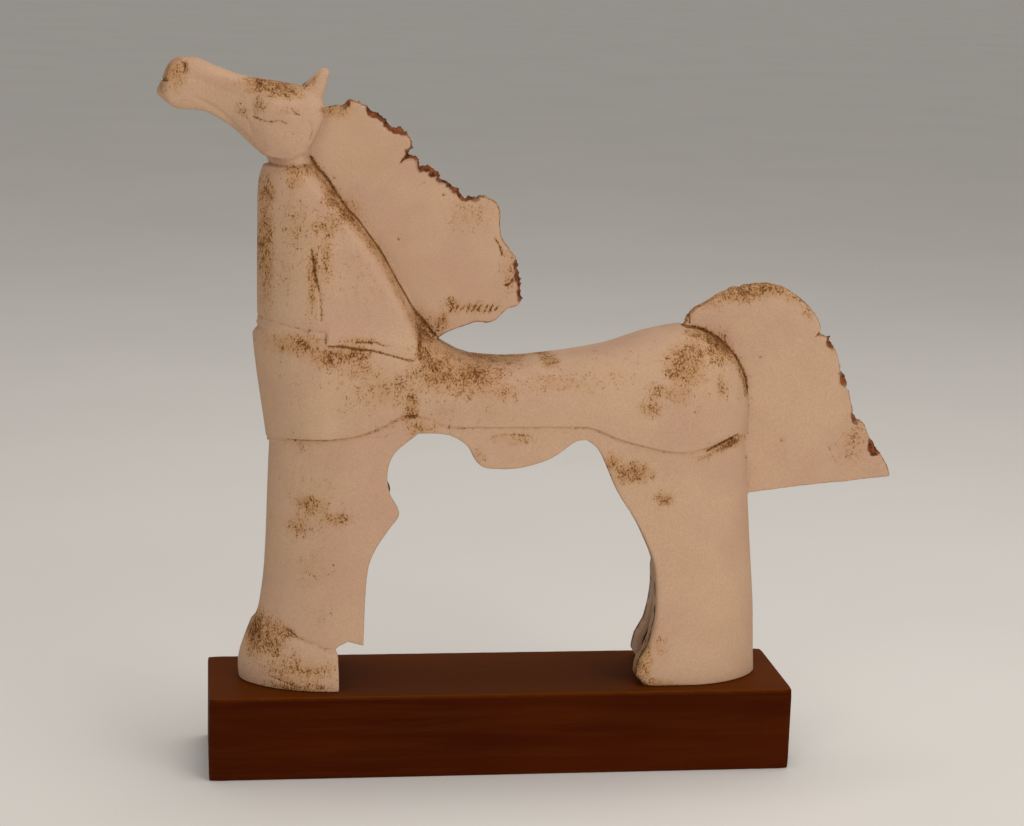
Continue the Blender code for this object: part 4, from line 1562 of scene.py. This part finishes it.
TAIL = EdgedSlab(
    name="tail_slab", thickness=0.008, seed=8, broken_wider=1.9,
    edge=(
        (132.9, 334.9, 0.7), (133.5, 337.9, 1.1), (135.3, 340.9, 1.1), (137.1, 343.6, 1.4),
        (140.0, 346.2, 0.7), (143.7, 348.1, 0.7), (147.4, 350.1, 0.7), (151.1, 352.0, 0.7),
        (154.8, 354.3, 1.4), (159.3, 356.9, 1.5), (163.7, 359.2, 1.4), (168.2, 361.5, 1.3),
        (172.7, 361.9, 1.2), (177.3, 363.5, 1.1), (181.8, 364.2, 1.0), (186.4, 364.7, 1.0),
        (190.9, 365.4, 1.1), (195.5, 365.1, 1.0), (200.2, 364.4, 1.0), (204.8, 363.3, 1.0),
        (208.7, 361.8, 0.9), (211.9, 359.6, 0.7), (215.9, 357.3, 0.9), (219.9, 354.7, 0.7),
        (223.1, 352.1, 0.7), (227.2, 348.7, 0.7), (230.5, 345.3, 1.1), (233.0, 342.3, 0.7),
        (235.5, 338.5, 0.7), (237.3, 334.7, 0.7), (238.3, 330.9, 0.7), (238.1, 327.8, 1.1),
        (237.0, 326.4, 1.4), (239.3, 326.3, 1.1), (242.5, 325.5, 1.4), (244.9, 324.4, 2.9),
        (246.6, 321.0, 3.2), (249.2, 317.1, 2.2), (251.8, 312.5, 1.1), (253.6, 307.9, 0.9),
        (255.6, 301.8, 1.4), (257.4, 297.2, 2.2), (260.0, 292.6, 3.2), (262.0, 286.4, 1.8),
        (263.9, 280.2, 0.7), (265.5, 274.0, 0.9), (267.0, 268.6, 1.8), (268.8, 263.9, 2.5),
        (271.4, 260.8, 2.2), (274.6, 259.2, 1.1), (277.1, 256.9, 1.4), (279.0, 252.2, 0.9),
        (281.3, 247.5, 1.4), (284.3, 242.8, 3.6), (288.6, 237.3, 4.3), (291.2, 233.4, 0.7),
        (294.7, 227.9, 0.7), (297.4, 223.2, 0.7), (299.0, 217.6, 0.7), (297.9, 215.7, 0.7),
        (291.6, 214.9, 0.7), (283.8, 214.2, 0.7), (275.9, 213.4, 0.7), (260.3, 211.5, 0.7),
        (244.6, 210.4, 0.7), (229.0, 208.5, 0.7), (213.4, 206.6, 0.7), (201.8, 205.1, 0.7),
        (190.2, 203.6, 0.7),
    ),
    root=((94.6, 30.4), (94.6, 40), (90, 50), (80, 56), (83.2, 58.8)))

BODY_EDGE: Run = tuple(
    (float(Figure().along(share)) / MM, float(Figure().up(BodySlab().crease.at(share))) / MM - 1.2)
    for share in np.linspace(4, 95, 40))

MARKS = Marks(
    strokes=(
        # Joints: neck to mane, neck to chest, body to legs, tail to haunch
        Stroke(((-147, 456), (-141, 446), (-136, 441), (-129, 431), (-125, 425), (-118, 416),
                (-112, 410), (-103, 398), (-95, 387), (-88, 375), (-83, 366), (-77, 356),
                (-71, 346), (-65, 338), (-59, 331), (-53, 324)), 1.5, 1.1, 1.0),
        Stroke(((-147, 453), (-141, 443), (-132, 431), (-125, 421), (-117, 410), (-106, 398),
                (-95, 383), (-86, 367), (-79, 352), (-72, 340), (-66, 330)), 6.0, 0.0, 0.55),
        Stroke(((-72, 348), (-69, 339), (-67, 330), (-69, 320), (-67, 312)), 2.6, 0.5, 0.5),
        Stroke(((-186, 339), (-172, 337.5), (-154, 334.5), (-137, 333)), 1.5, 0.9, 0.12),
        Stroke(((-186, 334), (-172, 332.5), (-154, 330), (-137, 328.5)), 2.4, -0.7, 0.0),
        Stroke(((-135, 323), (-124, 323), (-113, 321), (-102, 320), (-90, 317), (-79, 314),
                (-73, 313)), 1.4, 0.8, 0.9),
        Stroke(((-136, 332), (-136, 323)), 1.3, 0.5, 0.6),
        Stroke(((-115, 326), (-109, 326), (-101, 326), (-95, 324), (-89, 324)), 1.2, 0.5, 0.7),
        Stroke(((-147, 392), (-145, 383), (-143, 370), (-140, 358), (-139, 340)), 1.3, 0.9, 0.55),
        Stroke(BODY_EDGE, 1.6, 0.8, 0.2),
        Stroke(BODY_EDGE[4:14], 2.6, 0.0, 0.42),
        Stroke(((134, 240), (145, 241), (155, 245), (164, 246)), 1.3, 0.5, 0.6),
        Stroke(((146, 244), (158, 249), (166, 252), (174, 254)), 1.8, 0.7, 1.0),
        Stroke(((140, 238), (152, 242), (164, 246), (174, 249)), 3.5, 0.0, 0.6),
        Stroke(((181, 245), (184, 234), (187, 219), (188, 206)), 1.6, 0.5, 0.25),
        Stroke(((131, 333), (144, 331), (156, 325), (166, 317), (174, 307), (180, 296),
                (183, 283)), 1.9, 1.0, 1.0),
        Stroke(((183, 283), (184, 268), (185, 250)), 1.3, 0.5, 0.3),
        Stroke(((131, 330), (144, 328), (156, 321), (166, 313), (173, 303), (178, 292),
                (181, 280)), 5.0, 0.0, 0.6),
        Stroke(((136.5, 345), (136, 340), (136.5, 334)), 1.2, 0.6, 0.9),
        # Chest, shoulder and belly
        Stroke(((-100, 256), (-92, 257), (-84, 261)), 1.0, 0.4, 0.5),
        Stroke(((-70, 269), (-70, 264)), 0.9, 0.5, 0.7),
        Stroke(((-57, 270), (-57, 262)), 0.9, 0.5, 0.7),
        Stroke(((-46, 266), (-45, 255)), 0.9, 0.5, 0.6),
        Stroke(((54, 261), (56, 254)), 0.9, 0.5, 0.6),
        Stroke(((-15, 257), (-1, 258), (13, 257)), 1.0, 0.3, 0.5),
        # Hoof
        Stroke(((-162, 110), (-154, 104), (-143, 100), (-134, 97), (-127, 96)), 1.3, 0.8, 0.25),
        Stroke(((-159, 107), (-150, 101), (-139, 97), (-127, 93)), 1.2, 0.6, 0.1),
        Stroke(((-175, 74), (-166, 71), (-158, 69)), 1.1, 0.5, 0.6),
        Stroke(((-152, 71), (-141, 69)), 1.0, 0.4, 0.5),
        # Head
        Stroke(((-188, 483), (-183, 481.5), (-177, 480), (-170, 481), (-164, 479)), 1.1, 0.8, 0.7),
        Stroke(((-161, 490), (-159, 487), (-155, 485)), 1.2, 0.8, 0.6),
        Stroke(((-159, 486), (-156, 489)), 1.1, 0.5, 0.5),
        Stroke(((-203, 514), (-196, 513), (-190, 511), (-185, 508), (-181, 504), (-177, 502),
                (-170, 503), (-163, 502), (-158, 499), (-155, 496)), 1.4, 0.6, 0.35),
        Stroke(((-186, 511), (-182, 505), (-179, 503)), 1.2, 0.6, 0.4),
        Stroke(((-172, 507), (-168, 501), (-163, 497)), 1.2, 0.6, 0.4),
        Stroke(((-152, 503), (-148, 508), (-144, 514)), 1.3, 0.4, 0.5),
        Stroke(((-237, 520), (-235, 517), (-236, 512)), 1.4, 1.1, 0.9),
        Stroke(((-235, 521), (-234, 513), (-236, 505), (-240, 497)), 3.2, 0.9, 0.0),
        Stroke(((-232, 510), (-220, 505), (-206, 500), (-194, 495)), 3.6, 0.7, 0.0),
        Stroke(((-228, 495), (-212, 486), (-199, 474), (-187, 463)), 2.8, 0.9, 0.05),
        Stroke(((-149, 482), (-146, 474), (-149, 466)), 1.6, 0.8, 0.3),
        Stroke(((-196, 487), (-191, 479), (-188, 470)), 2.2, 0.5, 0.1),
        Stroke(((-254, 507), (-251, 507), (-247, 507)), 1.4, 1.1, 0.9),
        Stroke(((-180, 454.5), (-174, 452.8), (-167, 452), (-161.5, 453.3), (-157.5, 455.5),
                (-153, 456.8), (-147, 454.4)), 1.4, 1.2, 0.15),
        Stroke(((-180, 457.5), (-174, 455.8), (-167, 455), (-161.5, 456.3), (-157.5, 458.5),
                (-153, 459.8), (-147, 458)), 2.2, -0.9, 0.0),
        Stroke(((-182, 449.6), (-172, 449.2), (-160, 449.2), (-148, 449.8)), 1.2, 0.7, 0.3),
        # Single pits
        *(Stroke(((x - 0.4, z), (x + 0.4, z + 0.2)), 2.4, 0.6, 1.0)
          for x, z in ((-82, 395), (-50, 428), (-129, 439), (192, 309))),
        # Cracks in the mane and the tail
        Stroke(((-71, 433), (-63, 437)), 1.0, 0.4, 0.5),
        Stroke(((-69, 430), (-64, 432)), 1.0, 0.3, 0.4),
        Stroke(((-82, 450), (-79, 454), (-74, 457), (-70, 455)), 1.2, 1.0, 1.0),
        Stroke(((-12, 397), (-9, 393), (-7, 388), (-6, 384)), 1.1, 0.8, 1.0),
        Stroke(((-5, 362), (0, 363), (3, 368)), 1.0, 0.6, 0.8),
        Stroke(((233, 324), (236, 327), (241, 328)), 1.0, 0.7, 0.9),
        Stroke(((248, 240), (252, 233), (256, 226)), 1.1, 0.3, 0.3),
        # Short shallow strokes at the foot of the mane
        *(Stroke(((-44 + 4.2 * n, 341 + n % 3), (-41 + 4.2 * n, 347 + n % 2)), 1.3, 0.6, 0.9,
                 Side.NEAR) for n in range(9)),
    ),
    mounds=(
        Mound(-246, 508, 11, 15, 1.3, 0.0),
        Mound(-212, 510, 24, 5, 0.9, -0.25),
        Mound(-172, 470, 16, 9, 1.1, -0.3),
        Mound(-175, 491, 15, 10.5, 1.6, 0.0),
        Mound(-176, 497, 17, 3.2, -1.1, 0.05),
        Mound(-176, 485, 14, 3.0, -0.9, 0.0),
        Mound(-190, 494, 9, 11, -0.9, 0.3),
        Mound(-212, 503, 26, 9, -1.5, 0.25),
        Mound(-158, 472, 18, 15, 0.9, 0.5),
        Mound(-30, 240, 20, 9, 0.7),
        Mound(120, 285, 45, 30, 1.0),
        Mound(-140, 290, 40, 26, 0.9),
    ),
    stains=(
        # Neck
        (-178, 388, 6, 42, 1.0), (-177, 429, 6, 14, 0.9), (-157, 446, 13, 4, 1.1),
        (-158, 438, 7, 6, 0.9), (-145, 372, 5, 30, 0.85), (-136, 385, 5, 26, 0.75),
        (-137, 407, 15, 8, 0.75), (-122, 416, 12, 8, 0.8), (-132, 425, 8, 8, 0.8),
        (-155, 405, 22, 26, 0.5), (-140, 395, 38, 50, 0.36), (-110, 372, 22, 30, 0.38),
        (-165, 372, 10, 30, 0.4),
        # Chest, shoulder and back
        (-158, 323, 22, 8, 1.0), (-136, 315, 12, 8, 1.0), (-120, 316, 18, 8, 0.9),
        (-93, 291, 24, 18, 0.68), (-111, 305, 16, 9, 0.72), (-63, 322, 8, 18, 1.2),
        (-54, 306, 19, 16, 1.15), (-31, 301, 27, 15, 0.95), (-14, 311, 32, 7, 1.0),
        (-8, 290, 14, 8, 0.7), (-74, 280, 6, 17, 0.95), (-67, 263, 10, 5, 0.95),
        (29, 309, 7, 5, 0.9), (34, 295, 34, 10, 0.52), (2, 254, 18, 5, 0.65), (-23, 243, 5, 7, 0.6),
        (-30, 290, 62, 30, 0.36), (-120, 300, 60, 30, 0.36), (-62, 255, 12, 4, 0.9),
        (-50, 335, 6, 8, 0.9), (-112, 327, 16, 4, 0.6), (60, 312, 50, 10, 0.3),
        # Haunch
        (128, 308, 15, 14, 1.2), (136, 318, 13, 9, 0.95), (123, 290, 10, 10, 0.8),
        (156, 319, 13, 12, 0.95), (101, 278, 11, 7, 0.8), (108, 290, 11, 8, 0.75),
        (165, 249, 13, 4, 1.1), (155, 292, 5, 13, 0.7), (140, 302, 42, 34, 0.42),
        (75, 300, 24, 14, 0.35),
        # Hind leg
        (90, 229, 15, 8, 1.1), (75, 237, 7, 7, 1.0), (115, 209, 8, 5, 0.9), (117, 96, 7, 10, 0.6),
        (114, 65, 14, 4, 1.1), (106, 83, 6, 22, 0.85), (98, 76, 9, 15, 1.0),
        (98, 100, 7, 34, 1.0), (112, 100, 5, 26, 0.5),
        (120, 225, 22, 16, 0.3),
        # Front leg and hoof
        (-145, 204, 11, 7, 0.95), (-128, 195, 14, 5, 0.85), (-153, 187, 10, 10, 0.75),
        (-145, 154, 20, 17, 0.42), (-154, 249, 12, 7, 0.5), (-150, 200, 34, 45, 0.32),
        (-183, 101, 8, 17, 1.15), (-172, 101, 10, 15, 0.95), (-152, 80, 30, 12, 0.72),
        (-168, 106, 12, 6, 0.9), (-152, 67, 28, 3.5, 0.95), (-140, 122, 16, 12, 0.36),
        # Head, mane and tail
        (-243, 514, 10, 12, 0.85), (-252, 503, 8, 6, 0.7), (-175, 505, 22, 5.5, 1.1),
        (-183, 491, 5, 8, 0.66), (-166, 501, 15, 5, 0.95), (-165, 488, 8, 5, 0.5),
        (-165, 470, 20, 14, 0.3), (-146, 512, 5, 10, 0.85), (-139, 521, 6, 4, 0.85),
        (-196, 488, 7, 6, 0.5), (-129, 488, 12, 5, 0.9),
        (169, 357, 21, 6, 1.1), (195, 361, 22, 5, 1.05), (216, 355, 11, 6, 0.8),
        (150, 350, 12, 5, 0.75), (228, 345, 7, 9, 0.6), (248, 320, 5, 12, 0.6),
        (269, 244, 17, 24, 0.5), (-30, 414, 19, 14, 0.55), (-26, 345, 20, 6, 0.6),
        (-42, 346, 7, 7, 0.8), (0, 375, 9, 26, 0.55),
        (212, 246, 4, 3, 0.7),
    ))


def main() -> None:
    """Build the horse, the block and the studio, and dress them."""
    logging.basicConfig(level=logging.INFO, format="%(name)s: %(message)s")
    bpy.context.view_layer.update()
    for maker in (ClayHorse(), WoodBlock()):
        piece = maker.build()
        maker.dress(piece)
        LOG.info("%s done", piece.name)
    Studio().build()


if __name__ == "__main__":
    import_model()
    main()
